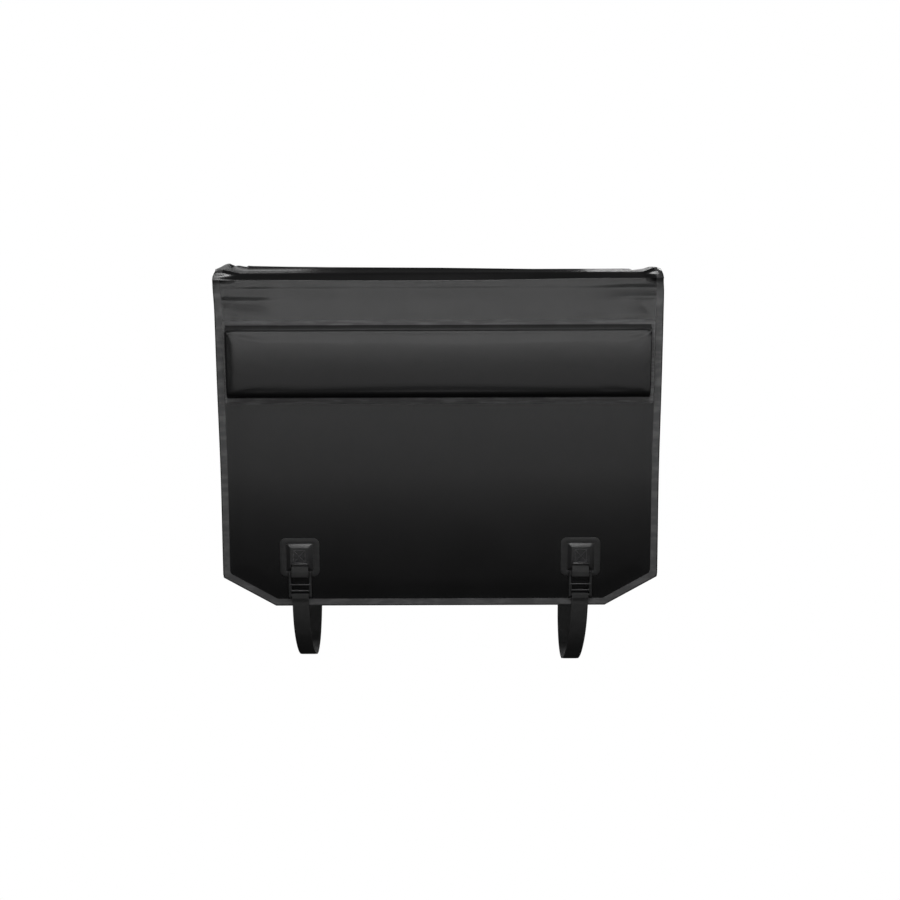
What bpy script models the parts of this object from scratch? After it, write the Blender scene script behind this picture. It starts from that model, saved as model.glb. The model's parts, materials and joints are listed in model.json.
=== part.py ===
"""Tailgate bike pad: a welded, padded cover that hangs over a truck's tailgate.

Metres, +Z up, +X to the pad's right, front face towards -Y. The origin is on the
lining's underside, at the middle of the strip that rests on the tailgate's top edge.

Most pieces are cut as flat patterns and then folded over the tailgate. In a pattern,
x runs across the pad, s runs along it from the middle of the top (negative towards
the front hem, positive towards the rear hem), and n is the height above the lining's
inner face.
"""
import math

import bmesh
import bpy
from mathutils import Vector

COLLECTION_NAME = "tailgate_bike_pad"

# Clearance between pieces that touch
GAP = 0.0003

# Edges that turn by more degrees than this stay sharp
SHARP_ANGLE = 35

# The whole pad
PAD_WIDTH = 0.838
FRONT_LENGTH = 0.636
REAR_LENGTH = 0.300
SLOT_DEPTH = 0.118
BEND_RADIUS = 0.008
BEND_STEPS = 6
FRONT_CHAMFER_X = 0.105
FRONT_CHAMFER_Z = 0.059
REAR_CHAMFER = 0.030

# Layers of the pad, from the tailgate outwards
LINING_THICKNESS = 0.0010
FOAM_THICKNESS = 0.0068
COVER_THICKNESS = 0.0013

# Welded hem, and the slope from it up to the padded face
HEM_WIDTH = 0.012
HEM_SLOPE = 0.008
FOAM_MARGIN = 0.001

# Foam sheets: the top one is narrower, and stops short of the front and rear sheets
TOP_FOAM_INSET = 0.046
TOP_FOAM_DROP = 0.040
FOAM_SPACING = 0.006

# Bumper cushion across the front
BUMPER_INSET = 0.018
BUMPER_TOP = 0.0945
BUMPER_HEIGHT = 0.138
BUMPER_DEPTH = 0.030
BUMPER_SLOPE = 0.007
BUMPER_FLANGE = 0.0095
BUMPER_SIDE_FLANGE = 0.002
BUMPER_SKIN = 0.0013

# Straps and what holds them: insets run from the pad's side to the webbing's middle,
# and heights are above the front hem's lower edge
STRAP_INSET = 0.149
REAR_STRAP_INSET = 0.162
WEBBING_WIDTH = 0.032
WEBBING_THICKNESS = 0.0014
PATCH_SIZE = 0.076
PATCH_THICKNESS = 0.0010
PATCH_CORNER = 0.012
PATCH_HEIGHT = 0.096

# Moulded cap that clamps the webbing tab to its patch
CAP_WIDTH = 0.050
CAP_TOP = 0.1235
CAP_LIP = 0.083
CAP_LOW = 0.070
CAP_DEPTH = 0.0062
CAP_SLOPE = 0.0050
TAB_SOCKET = 0.024
SOCKET_DEPTH = 0.0037
SOCKET_SIDE = 0.0006

# Four-bar strap buckle
BUCKLE_WIDTH = 0.045
BUCKLE_TOP = 0.0675
BUCKLE_LOW = 0.0165
BUCKLE_THICKNESS = 0.0030
BUCKLE_CORNER = 0.004
BUCKLE_ARM = 0.0055
BAR_HEIGHT = 0.0036
TAB_BAR = 0.0610
UPPER_BAR = 0.0405
MIDDLE_BAR = 0.0285
STRAP_BAR = 0.0200
SLOT_CORNER = 0.0015

# How the straps lie
TAIL_LENGTH = 0.006
LEFT_LOOP_DROP = 0.124
RIGHT_LOOP_DROP = 0.135
WRAP_STEPS = 4
LOOP_STEPS = 4

# Shares of the strap's length between which it drifts across to its rear anchor
DRIFT_START = 0.08
DRIFT_END = 0.62

# Box stitching with a cross in it
STITCH_WIDTH = 0.022
STITCH_HEIGHT = 0.024
STITCH_LINE = 0.0014
STITCH_RAISE = 0.0006
FRONT_STITCH_HEIGHT = 0.0995

# Rear anchors; heights are above the rear hem's lower edge
REAR_PATCH_HEIGHT = 0.062
REAR_STRAP_END = 0.082
REAR_STITCH_HEIGHT = 0.062

SIDES = {"left": -1, "right": 1}

# Worked out from the sizes above
HALF_WIDTH = PAD_WIDTH / 2
STRAP_X = HALF_WIDTH - STRAP_INSET
REAR_STRAP_X = HALF_WIDTH - REAR_STRAP_INSET
HALF_SLOT = SLOT_DEPTH / 2
HALF_FLAT = HALF_SLOT - BEND_RADIUS
BEND_LENGTH = BEND_RADIUS * math.pi / 2
FOAM_BASE = LINING_THICKNESS + GAP
COVER_BASE = FOAM_BASE + FOAM_THICKNESS + GAP
PAD_THICKNESS = COVER_BASE + COVER_THICKNESS
FACE_Y = HALF_SLOT + PAD_THICKNESS
HEM_BASE = LINING_THICKNESS + GAP
FRONT_HEM_Z = -FRONT_LENGTH
REAR_HEM_Z = -REAR_LENGTH
PATCH_Y = FACE_Y + GAP
WEBBING_Y = PATCH_Y + PATCH_THICKNESS + GAP
BUCKLE_Y = WEBBING_Y + WEBBING_THICKNESS + GAP


def clear_scene():
    for thing in list(bpy.data.objects):
        bpy.data.objects.remove(thing, do_unlink=True)


def make_collection(name):
    collection = bpy.data.collections.new(name)
    bpy.context.scene.collection.children.link(collection)
    return collection


def make_material(name, colour, roughness, metallic=0.0):
    material = bpy.data.materials.new(name)
    material.use_nodes = True
    shader = material.node_tree.nodes["Principled BSDF"]
    shader.inputs["Base Color"].default_value = (*colour, 1.0)
    shader.inputs["Roughness"].default_value = roughness
    shader.inputs["Metallic"].default_value = metallic
    material.diffuse_color = (*colour, 1.0)
    return material


def add_object(name, mesh, material=None, cutter=False):
    thing = bpy.data.objects.new(name, mesh)
    if cutter:
        CUTTERS.objects.link(thing)
        thing.hide_render = True
        thing.display_type = "WIRE"
    else:
        PARTS.objects.link(thing)
    if material:
        mesh.materials.append(material)
    return thing


def finish_mesh(bm, name, round_edges=True):
    """Turn the faces outwards, free the bmesh and give back a mesh."""
    bm.normal_update()
    bmesh.ops.recalc_face_normals(bm, faces=bm.faces)
    mesh = bpy.data.meshes.new(name)
    bm.to_mesh(mesh)
    bm.free()
    if round_edges:
        mesh.shade_smooth()
        mesh.set_sharp_from_angle(angle=math.radians(SHARP_ANGLE))
    return mesh


def add_solidify(thing, thickness, offset):
    solidify = thing.modifiers.new("Wall", "SOLIDIFY")
    solidify.thickness = thickness
    solidify.offset = offset
    solidify.use_even_offset = True


def fold_over_tailgate(point):
    """Carry a pattern point (x, s, n) to its place on the hung pad."""
    x, s, n = point
    side = -1 if s < 0 else 1
    run = abs(s)
    if run <= HALF_FLAT:
        return Vector((x, s, n))
    if run <= HALF_FLAT + BEND_LENGTH:
        angle = (run - HALF_FLAT) / BEND_RADIUS
        reach = BEND_RADIUS + n
        y = HALF_FLAT + reach * math.sin(angle)
        return Vector((x, side * y, reach * math.cos(angle) - BEND_RADIUS))
    drop = run - HALF_FLAT - BEND_LENGTH
    return Vector((x, side * (HALF_SLOT + n), -BEND_RADIUS - drop))


def pattern_run(z):
    """Distance along the pattern from the middle of the top down to height z."""
    return HALF_FLAT + BEND_LENGTH - BEND_RADIUS - z


def place_on_front(point):
    """Carry a point (x, z, n) to n in front of the pad's front face."""
    x, z, n = point
    return Vector((x, -FACE_Y - n, z))


def place_on_rear(point):
    """Carry a point (x, z, n) to n behind the pad's rear face."""
    x, z, n = point
    return Vector((x, FACE_Y + n, z))


def outline_face(bm, outline, height=0.0):
    corners = [bm.verts.new((x, s, height)) for x, s in outline]
    edges = [bm.edges.new((a, b)) for a, b in zip(corners, corners[1:] + corners[:1])]
    made = bmesh.ops.contextual_create(bm, geom=edges)
    return made["faces"][0]


def cut_across_bends(bm):
    """Cut the pattern across, where the folds need their steps."""
    for step in range(BEND_STEPS + 1):
        run = HALF_FLAT + BEND_LENGTH * step / BEND_STEPS
        for side in (-1, 1):
            bmesh.ops.bisect_plane(
                bm,
                geom=bm.verts[:] + bm.edges[:] + bm.faces[:],
                dist=1e-7,
                plane_co=(0, side * run, 0),
                plane_no=(0, 1, 0),
            )


def turn_upwards(bm, face):
    face.normal_update()
    if face.normal.z < 0:
        bmesh.ops.reverse_faces(bm, faces=[face])
        face.normal_update()


def inset_face(bm, face, slope, rise=0.0):
    """Shrink a face by slope and lift it by rise along its normal."""
    bmesh.ops.inset_region(
        bm,
        faces=[face],
        use_boundary=True,
        use_even_offset=True,
        thickness=slope,
        depth=rise,
    )


def raised_slab(outline, base, thickness, slope):
    """A closed slab on an outline, whose sides lean in by slope as they rise."""
    bm = bmesh.new()
    floor = outline_face(bm, outline, base)
    top = bmesh.ops.duplicate(bm, geom=[floor])
    face = next(item for item in top["geom"] if isinstance(item, bmesh.types.BMFace))
    turn_upwards(bm, face)
    inset_face(bm, face, slope, thickness)
    bmesh.ops.remove_doubles(bm, verts=bm.verts, dist=1e-6)
    return bm


def move_points(bm, place):
    for vert in bm.verts:
        vert.co = place(vert.co)


def prism_mesh(profile, low_x, high_x, name):
    """A profile of (y, z) points carried from low_x to high_x."""
    bm = bmesh.new()
    corners = [bm.verts.new((low_x, y, z)) for y, z in profile]
    edges = [bm.edges.new((a, b)) for a, b in zip(corners, corners[1:] + corners[:1])]
    face = bmesh.ops.contextual_create(bm, geom=edges)["faces"][0]
    grown = bmesh.ops.extrude_face_region(bm, geom=[face], use_keep_orig=True)
    moved = [item for item in grown["geom"] if isinstance(item, bmesh.types.BMVert)]
    bmesh.ops.translate(bm, verts=moved, vec=(high_x - low_x, 0, 0))
    return finish_mesh(bm, name, round_edges=False)


def rounded_outline(width, height, radius, steps=4, centre=(0.0, 0.0)):
    """Points round a rectangle with round corners, anticlockwise."""
    points = []
    corners = (
        (width / 2, height / 2),
        (-width / 2, height / 2),
        (-width / 2, -height / 2),
        (width / 2, -height / 2),
    )
    for turn, (x, z) in enumerate(corners):
        middle_x = centre[0] + x - math.copysign(radius, x)
        middle_z = centre[1] + z - math.copysign(radius, z)
        for step in range(steps + 1):
            angle = math.pi / 2 * (turn + step / steps)
            points.append(
                (middle_x + radius * math.cos(angle), middle_z + radius * math.sin(angle))
            )
    return points


def flat_plate(outlines, thickness, name):
    """A plate of even thickness from a filled 2D curve, whose later outlines are holes."""
    curve = bpy.data.curves.new(name, "CURVE")
    curve.dimensions = "2D"
    curve.fill_mode = "BOTH"
    curve.extrude = thickness / 2
    for outline in outlines:
        spline = curve.splines.new("POLY")
        spline.points.add(len(outline) - 1)
        for point, (x, z) in zip(spline.points, outline):
            point.co = (x, z, 0, 1)
        spline.use_cyclic_u = True
    holder = bpy.data.objects.new(name, curve)
    PARTS.objects.link(holder)
    bpy.context.view_layer.update()
    shape = holder.evaluated_get(bpy.context.evaluated_depsgraph_get())
    mesh = bpy.data.meshes.new_from_object(shape)
    bpy.data.objects.remove(holder, do_unlink=True)
    bm = bmesh.new()
    bm.from_mesh(mesh)
    bpy.data.meshes.remove(mesh)
    bmesh.ops.remove_doubles(bm, verts=bm.verts, dist=1e-6)
    return bm


def pad_outline(inset=0.0):
    """The pad's flat pattern, front hem first."""
    front = -pattern_run(FRONT_HEM_Z)
    rear = pattern_run(REAR_HEM_Z)
    outline = [
        (-HALF_WIDTH + FRONT_CHAMFER_X, front),
        (HALF_WIDTH - FRONT_CHAMFER_X, front),
        (HALF_WIDTH, front + FRONT_CHAMFER_Z),
        (HALF_WIDTH, rear - REAR_CHAMFER),
        (HALF_WIDTH - REAR_CHAMFER, rear),
        (-HALF_WIDTH + REAR_CHAMFER, rear),
        (-HALF_WIDTH, rear - REAR_CHAMFER),
        (-HALF_WIDTH, front + FRONT_CHAMFER_Z),
    ]
    return inset_outline(outline, inset)


def inset_outline(outline, inset):
    """Move each side of an anticlockwise outline inwards by inset."""
    if inset == 0:
        return outline
    count = len(outline)
    moved = []
    for index in range(count):
        before = Vector(outline[index - 1])
        here = Vector(outline[index])
        after = Vector(outline[(index + 1) % count])
        first = (here - before).normalized()
        second = (after - here).normalized()
        normal = (Vector((-first.y, first.x)) + Vector((-second.y, second.x))).normalized()
        half = normal.dot(Vector((-first.y, first.x)))
        moved.append(tuple(here + normal * (inset / half)))
    return moved


def trim_outline(outline, low=None, high=None):
    """Keep the part of an outline between two runs of the pattern."""
    kept = []
    count = len(outline)
    for limit, keep_above in ((low, True), (high, False)):
        if limit is None:
            continue
        kept = []
        for index in range(count):
            here = outline[index]
            after = outline[(index + 1) % count]
            inside = here[1] >= limit if keep_above else here[1] <= limit
            next_inside = after[1] >= limit if keep_above else after[1] <= limit
            if inside:
                kept.append(here)
            if inside != next_inside:
                share = (limit - here[1]) / (after[1] - here[1])
                kept.append((here[0] + (after[0] - here[0]) * share, limit))
        outline = kept
        count = len(outline)
    return outline


def make_inner_lining():
    bm = bmesh.new()
    outline_face(bm, pad_outline())
    cut_across_bends(bm)
    move_points(bm, fold_over_tailgate)
    mesh = finish_mesh(bm, "inner_lining")
    face_outwards(mesh)
    thing = add_object("inner_lining", mesh, LINING)
    add_solidify(thing, LINING_THICKNESS, 1.0)


def face_outwards(mesh):
    """Turn an open folded sheet so that its normals point away from the tailgate."""
    top = max(mesh.polygons, key=lambda face: face.center.z)
    if top.normal.z < 0:
        mesh.flip_normals()


def make_outer_cover():
    bm = bmesh.new()
    face = outline_face(bm, pad_outline(), HEM_BASE)
    turn_upwards(bm, face)
    inset_face(bm, face, HEM_WIDTH)
    inset_face(bm, face, HEM_SLOPE, COVER_BASE - HEM_BASE)
    cut_across_bends(bm)
    move_points(bm, fold_over_tailgate)
    mesh = finish_mesh(bm, "outer_cover")
    face_outwards(mesh)
    thing = add_object("outer_cover", mesh, COATED_FABRIC)
    add_solidify(thing, COVER_THICKNESS, 1.0)


def make_foam_sheet(name, outline):
    bm = raised_slab(outline, FOAM_BASE, FOAM_THICKNESS, HEM_SLOPE)
    cut_across_bends(bm)
    move_points(bm, fold_over_tailgate)
    add_object(name, finish_mesh(bm, name), FOAM)


def make_foam_sheets():
    inner = pad_outline(HEM_WIDTH + FOAM_MARGIN)
    top_end = pattern_run(-TOP_FOAM_DROP)
    half = HALF_WIDTH - TOP_FOAM_INSET
    top = [(-half, -top_end), (half, -top_end), (half, top_end), (-half, top_end)]
    make_foam_sheet("top_foam", top)
    make_foam_sheet("front_foam", trim_outline(inner, high=-top_end - FOAM_SPACING))
    make_foam_sheet("rear_foam", trim_outline(inner, low=top_end + FOAM_SPACING))


def bumper_outline(margin_x, margin_z):
    half = HALF_WIDTH - BUMPER_INSET + margin_x
    high = -BUMPER_TOP + margin_z
    low = -BUMPER_TOP - BUMPER_HEIGHT - margin_z
    return [(-half, low), (half, low), (half, high), (-half, high)]


def make_bumper_cover():
    bm = bmesh.new()
    outline_face(bm, bumper_outline(BUMPER_SIDE_FLANGE, BUMPER_FLANGE), GAP)
    low, high = bumper_outline(0, 0)[0], bumper_outline(0, 0)[2]
    for axis in (0, 1):
        for corner in (low, high):
            spot = [0.0, 0.0, 0.0]
            spot[axis] = corner[axis]
            normal = [0.0, 0.0, 0.0]
            normal[axis] = 1.0
            bmesh.ops.bisect_plane(
                bm,
                geom=bm.verts[:] + bm.edges[:] + bm.faces[:],
                dist=1e-7,
                plane_co=spot,
                plane_no=normal,
            )
    for face in bm.faces:
        turn_upwards(bm, face)
    middle = max(bm.faces, key=lambda face: face.calc_area())
    inset_face(bm, middle, BUMPER_SLOPE, BUMPER_DEPTH - BUMPER_SKIN - GAP)
    move_points(bm, place_on_front)
    mesh = finish_mesh(bm, "bumper_cover")
    front = min(mesh.polygons, key=lambda face: face.center.y)
    if front.normal.y > 0:
        mesh.flip_normals()
    thing = add_object("bumper_cover", mesh, COATED_FABRIC)
    add_solidify(thing, BUMPER_SKIN, 1.0)


def make_bumper_foam():
    margin = FOAM_MARGIN
    thickness = BUMPER_DEPTH - BUMPER_SKIN - GAP - GAP
    bm = raised_slab(bumper_outline(-margin, -margin), GAP, thickness - GAP, BUMPER_SLOPE)
    move_points(bm, place_on_front)
    add_object("bumper_foam", finish_mesh(bm, "bumper_foam"), FOAM)


def make_patch(name, x, z, place):
    outline = rounded_outline(PATCH_SIZE, PATCH_SIZE, PATCH_CORNER)
    bm = flat_plate([outline], PATCH_THICKNESS, name)
    middle = GAP + PATCH_THICKNESS / 2
    move_points(bm, lambda co: place((co.x + x, co.y + z, co.z + middle)))
    add_object(name, finish_mesh(bm, name), COATED_FABRIC)


def make_cap(name, x):
    """Moulded cap, hollow behind and open below, where the webbing tab comes out."""
    half = CAP_WIDTH / 2
    low = FRONT_HEM_Z + CAP_LOW
    high = FRONT_HEM_Z + CAP_TOP
    outline = [(x - half, low), (x + half, low), (x + half, high), (x - half, high)]
    base = WEBBING_Y - FACE_Y
    bm = raised_slab(outline, base, CAP_DEPTH, CAP_SLOPE)
    move_points(bm, place_on_front)
    thing = add_object(name, finish_mesh(bm, name), MOULDED)
    side = WEBBING_WIDTH / 2 + SOCKET_SIDE
    lip = FRONT_HEM_Z + CAP_LIP
    beyond = 2 * CAP_DEPTH
    behind = -WEBBING_Y + beyond
    socket_floor = -WEBBING_Y - SOCKET_DEPTH
    profile = [
        (behind, low - beyond),
        (behind, lip + TAB_SOCKET),
        (socket_floor, lip + TAB_SOCKET),
        (socket_floor, lip),
        (socket_floor - beyond, lip),
        (socket_floor - beyond, low - beyond),
    ]
    socket = prism_mesh(profile, x - side, x + side, name + "_socket")
    cutter = add_object(name + "_socket", socket, cutter=True)
    cut = thing.modifiers.new("Socket", "BOOLEAN")
    cut.operation = "DIFFERENCE"
    cut.solver = "EXACT"
    cut.object = cutter


def ribbon(name, path, width, x_of):
    """Webbing along a path of (y, z) points; x_of gives its middle for each share of it."""
    bm = bmesh.new()
    verts = [bm.verts.new((0, y, z)) for y, z in path]
    for first, second in zip(verts, verts[1:]):
        bm.edges.new((first, second))
    lengths = [0.0]
    for first, second in zip(path, path[1:]):
        lengths.append(lengths[-1] + math.dist(first, second))
    for vert, length in zip(verts, lengths):
        vert.co.x = x_of(length / lengths[-1]) - width / 2
    wide = bmesh.ops.extrude_edge_only(bm, edges=bm.edges[:])
    moved = [item for item in wide["geom"] if isinstance(item, bmesh.types.BMVert)]
    bmesh.ops.translate(bm, verts=moved, vec=(width, 0, 0))
    thing = add_object(name, finish_mesh(bm, name), WEBBING)
    add_solidify(thing, WEBBING_THICKNESS, 0.0)


def arc(centre, radius, start, end, steps):
    """Points (y, z) on an arc; angles in degrees, 0 towards +y, 90 towards +z."""
    points = []
    for step in range(steps + 1):
        angle = math.radians(start + (end - start) * step / steps)
        points.append(
            (centre[0] + radius * math.cos(angle), centre[1] + radius * math.sin(angle))
        )
    return points


def wrap_round_bar(edge_z, over):
    """Points (y, z) round a buckle bar from front to rear, over its top or under its low edge."""
    reach = GAP + WEBBING_THICKNESS / 2
    turn = 90 if over else -90
    front = arc((-BUCKLE_Y - BUCKLE_THICKNESS, edge_z), reach, 180, 180 - turn, WRAP_STEPS)
    rear = arc((-BUCKLE_Y, edge_z), reach, turn, 0, WRAP_STEPS)
    return front + rear


def make_tab(name, x):
    """Webbing that leaves the cap, folds round the buckle's top bar and goes back."""
    bar_z = FRONT_HEM_Z + TAB_BAR
    inside = FRONT_HEM_Z + CAP_LIP + TAB_SOCKET - 2 * GAP
    leave = FRONT_HEM_Z + CAP_LIP
    back_y = -WEBBING_Y - WEBBING_THICKNESS / 2
    front_y = back_y - WEBBING_THICKNESS - GAP
    turn = wrap_round_bar(bar_z - BAR_HEIGHT / 2, over=False)
    above_bar = FRONT_HEM_Z + BUCKLE_TOP + GAP
    path = [(front_y, inside), (front_y, leave - WEBBING_THICKNESS), (turn[0][0], above_bar)]
    path += [*turn, (back_y, inside)]
    ribbon(name, path, WEBBING_WIDTH, lambda share: x)


def make_buckle(name, x):
    height = BUCKLE_TOP - BUCKLE_LOW
    middle = (BUCKLE_TOP + BUCKLE_LOW) / 2
    slot_width = BUCKLE_WIDTH - 2 * BUCKLE_ARM
    outlines = [rounded_outline(BUCKLE_WIDTH, height, BUCKLE_CORNER, centre=(0, middle))]
    bars = [TAB_BAR, UPPER_BAR, MIDDLE_BAR, STRAP_BAR]
    for upper, lower in zip(bars, bars[1:]):
        high = upper - BAR_HEIGHT / 2
        low = lower + BAR_HEIGHT / 2
        outlines.append(
            rounded_outline(
                slot_width, high - low, SLOT_CORNER, steps=2, centre=(0, (high + low) / 2)
            )
        )
    bm = flat_plate(outlines, BUCKLE_THICKNESS, name)
    depth = BUCKLE_Y - FACE_Y + BUCKLE_THICKNESS / 2
    move_points(bm, lambda co: place_on_front((co.x + x, co.y + FRONT_HEM_Z, co.z + depth)))
    add_object(name, finish_mesh(bm, name), MOULDED)


def smooth_path(points, steps):
    """A Catmull-Rom curve through the points."""
    padded = [points[0], *points, points[-1]]
    curve = []
    for index in range(1, len(padded) - 2):
        p0, p1, p2, p3 = (Vector(p) for p in padded[index - 1 : index + 3])
        for step in range(steps):
            t = step / steps
            curve.append(
                tuple(
                    0.5
                    * (
                        2 * p1
                        + (p2 - p0) * t
                        + (2 * p0 - 5 * p1 + 4 * p2 - p3) * t * t
                        + (3 * p1 - p0 - 3 * p2 + p3) * t**3
                    )
                )
            )
    curve.append(tuple(points[-1]))
    return curve


def loop_points(drop):
    """The strap's free loop below the hem, from front to rear."""
    front = -WEBBING_Y - WEBBING_THICKNESS / 2
    rear = FACE_Y + GAP + PATCH_THICKNESS + GAP + WEBBING_THICKNESS / 2
    depth = rear - front
    low = FRONT_HEM_Z - drop
    shape = (
        (0.00, 1.00),
        (0.03, 0.72),
        (0.13, 0.42),
        (0.33, 0.14),
        (0.60, 0.00),
        (0.84, 0.12),
        (0.96, 0.42),
        (1.00, 0.80),
    )
    return [(front + depth * along, low + drop * up) for along, up in shape]


def make_strap(name, side, drop):
    """Long strap: its tail over the strap bar, down the front, the loop, up the rear."""
    bar_z = FRONT_HEM_Z + STRAP_BAR
    turn = wrap_round_bar(bar_z + BAR_HEIGHT / 2, over=True)
    tail = (turn[0][0], bar_z - TAIL_LENGTH)
    loop = smooth_path(loop_points(drop), LOOP_STEPS)
    rear_y = loop[-1][0]
    rear_end = REAR_HEM_Z + REAR_STRAP_END
    path = [tail, *turn, *loop, (rear_y, rear_end)]
    front_x = side * STRAP_X
    rear_x = side * REAR_STRAP_X

    def middle(share):
        along = min(max((share - DRIFT_START) / (DRIFT_END - DRIFT_START), 0.0), 1.0)
        return front_x + (rear_x - front_x) * along

    ribbon(name, path, WEBBING_WIDTH, middle)


def stitch_outlines():
    """A box of stitching with a cross in it: a plate with four three-cornered holes."""
    wide = STITCH_WIDTH / 2
    high = STITCH_HEIGHT / 2
    inner_w = wide - STITCH_LINE
    inner_h = high - STITCH_LINE
    slant = STITCH_LINE * math.hypot(inner_w, inner_h) / 2
    off_x = slant / inner_h
    off_h = slant / inner_w
    outlines = [[(wide, high), (-wide, high), (-wide, -high), (wide, -high)]]
    for sign in (-1, 1):
        outlines.append(
            [(0, sign * off_h), (sign * (inner_w - off_x), sign * inner_h),
             (-sign * (inner_w - off_x), sign * inner_h)]
        )
        outlines.append(
            [(sign * off_x, 0), (sign * inner_w, -sign * (inner_h - off_h)),
             (sign * inner_w, sign * (inner_h - off_h))]
        )
    return outlines


def make_stitch(name, x, z, depth, place):
    bm = flat_plate(stitch_outlines(), STITCH_RAISE, name)
    move_points(bm, lambda co: place((co.x + x, co.y + z, co.z + depth)))
    add_object(name, finish_mesh(bm, name, round_edges=False), THREAD)


def make_anchors_and_straps():
    drops = {"left": LEFT_LOOP_DROP, "right": RIGHT_LOOP_DROP}
    cap_face = WEBBING_Y - FACE_Y + CAP_DEPTH
    rear_web_face = GAP + PATCH_THICKNESS + GAP + WEBBING_THICKNESS
    lift = GAP + STITCH_RAISE / 2
    for label, side in SIDES.items():
        front_x = side * STRAP_X
        rear_x = side * REAR_STRAP_X
        make_patch("front_patch_" + label, front_x, FRONT_HEM_Z + PATCH_HEIGHT, place_on_front)
        make_cap("anchor_cap_" + label, front_x)
        make_tab("webbing_tab_" + label, front_x)
        make_buckle("buckle_" + label, front_x)
        make_strap("strap_" + label, side, drops[label])
        make_stitch(
            "front_stitch_" + label,
            front_x,
            FRONT_HEM_Z + FRONT_STITCH_HEIGHT,
            cap_face + lift,
            place_on_front,
        )
        make_patch("rear_patch_" + label, rear_x, REAR_HEM_Z + REAR_PATCH_HEIGHT, place_on_rear)
        make_stitch(
            "rear_stitch_" + label,
            rear_x,
            REAR_HEM_Z + REAR_STITCH_HEIGHT,
            rear_web_face + lift,
            place_on_rear,
        )


clear_scene()
PARTS = make_collection(COLLECTION_NAME)
CUTTERS = make_collection("cutters")
COATED_FABRIC = make_material("coated_fabric", (0.018, 0.018, 0.019), 0.45)
LINING = make_material("lining", (0.035, 0.035, 0.037), 0.85)
FOAM = make_material("foam", (0.06, 0.06, 0.065), 0.9)
WEBBING = make_material("webbing", (0.012, 0.012, 0.013), 0.7)
MOULDED = make_material("moulded", (0.016, 0.016, 0.017), 0.5)
THREAD = make_material("thread", (0.022, 0.022, 0.023), 0.65)

make_inner_lining()
make_outer_cover()
make_foam_sheets()
make_bumper_cover()
make_bumper_foam()
make_anchors_and_straps()
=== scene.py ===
"""Tailgate bike pad: the dressed model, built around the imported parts.

A welded, foam-filled cover hangs over a tailgate, with a stuffed bumper cushion across
its front and two webbing straps that pass below it from moulded anchors to the rear.
"""

import json
import math

import bmesh
import bpy
import numpy as np
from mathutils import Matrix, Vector

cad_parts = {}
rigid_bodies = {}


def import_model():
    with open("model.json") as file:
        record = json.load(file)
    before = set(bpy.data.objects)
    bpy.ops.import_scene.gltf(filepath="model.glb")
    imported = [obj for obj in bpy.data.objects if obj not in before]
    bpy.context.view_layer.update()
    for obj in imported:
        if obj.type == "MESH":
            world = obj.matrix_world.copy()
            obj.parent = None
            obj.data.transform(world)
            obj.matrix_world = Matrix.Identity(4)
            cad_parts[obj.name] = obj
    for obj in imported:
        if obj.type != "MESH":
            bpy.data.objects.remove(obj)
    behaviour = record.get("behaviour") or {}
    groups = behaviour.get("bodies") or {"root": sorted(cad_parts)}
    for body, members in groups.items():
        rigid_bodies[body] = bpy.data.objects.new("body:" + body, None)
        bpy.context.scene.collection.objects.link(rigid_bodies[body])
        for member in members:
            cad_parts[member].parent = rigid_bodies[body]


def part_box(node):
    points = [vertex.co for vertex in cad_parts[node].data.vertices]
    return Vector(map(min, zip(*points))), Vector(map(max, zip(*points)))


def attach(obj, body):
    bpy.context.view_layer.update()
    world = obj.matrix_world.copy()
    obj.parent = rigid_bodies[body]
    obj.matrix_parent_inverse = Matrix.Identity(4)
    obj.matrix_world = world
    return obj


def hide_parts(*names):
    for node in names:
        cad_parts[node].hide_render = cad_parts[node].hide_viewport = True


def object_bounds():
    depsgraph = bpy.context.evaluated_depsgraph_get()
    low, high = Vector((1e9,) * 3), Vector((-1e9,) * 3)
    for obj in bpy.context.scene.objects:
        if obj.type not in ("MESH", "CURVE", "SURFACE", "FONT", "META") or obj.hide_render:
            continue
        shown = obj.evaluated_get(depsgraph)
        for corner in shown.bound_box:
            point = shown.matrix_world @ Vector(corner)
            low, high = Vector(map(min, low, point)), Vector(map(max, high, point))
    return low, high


bl_info = {
    "name": "Tailgate bike pad",
    "version": (1, 0, 0),
    "blender": (4, 5, 0),
    "location": "3D View > Sidebar > Bike pad",
    "description": "Builds a padded tailgate cover with its bumper cushion, anchors and straps",
    "category": "Add Mesh",
}

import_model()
CAD_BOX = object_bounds()

# Where the parts of the frame are
LINING_LOW, LINING_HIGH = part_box("inner_lining")
BUMPER_LOW, BUMPER_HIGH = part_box("bumper_cover")
FACE_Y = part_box("outer_cover")[1].y

# The pad's layers, and the slot that holds the tailgate
SIDES = ("left", "right")
GAP = 0.0003
LINING_THICKNESS = 0.0010
BEND_RADIUS = 0.008
HALF_WIDTH = LINING_HIGH.x
HALF_SLOT = LINING_HIGH.y - LINING_THICKNESS
HALF_FLAT = HALF_SLOT - BEND_RADIUS
BEND_LENGTH = BEND_RADIUS * math.pi / 2
PAD_TOP = FACE_Y - HALF_SLOT

# The welded hem and the cut corners, wide and high
HEM_BASE = LINING_THICKNESS + GAP
HEM_TOP = HEM_BASE + 0.0013
FRONT_HEM_Z = LINING_LOW.z
REAR_HEM_Z = -0.300
FRONT_CHAMFER = (0.101, 0.057)
REAR_CHAMFER = (0.030, 0.030)
# In front the hem lies a small step behind the padded face, over a long slope
HEM_WIDTH = 0.0135
HEM_SLOPE = {"front": 0.040, "rear": 0.017}
HEM_STEP = 0.0010
RIM_WIDTH = 0.0020
# Painted shade over the top: where it dims the hem's pale weld band, along the pattern, and how
# much of the paleness it leaves
TOP_SHADE_STARTS = (-0.093, -0.078)
TOP_SHADE_ENDS = (0.060, 0.074)
PALE_HEM_LEFT_IN_TOP_SHADE = 0.30

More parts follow.
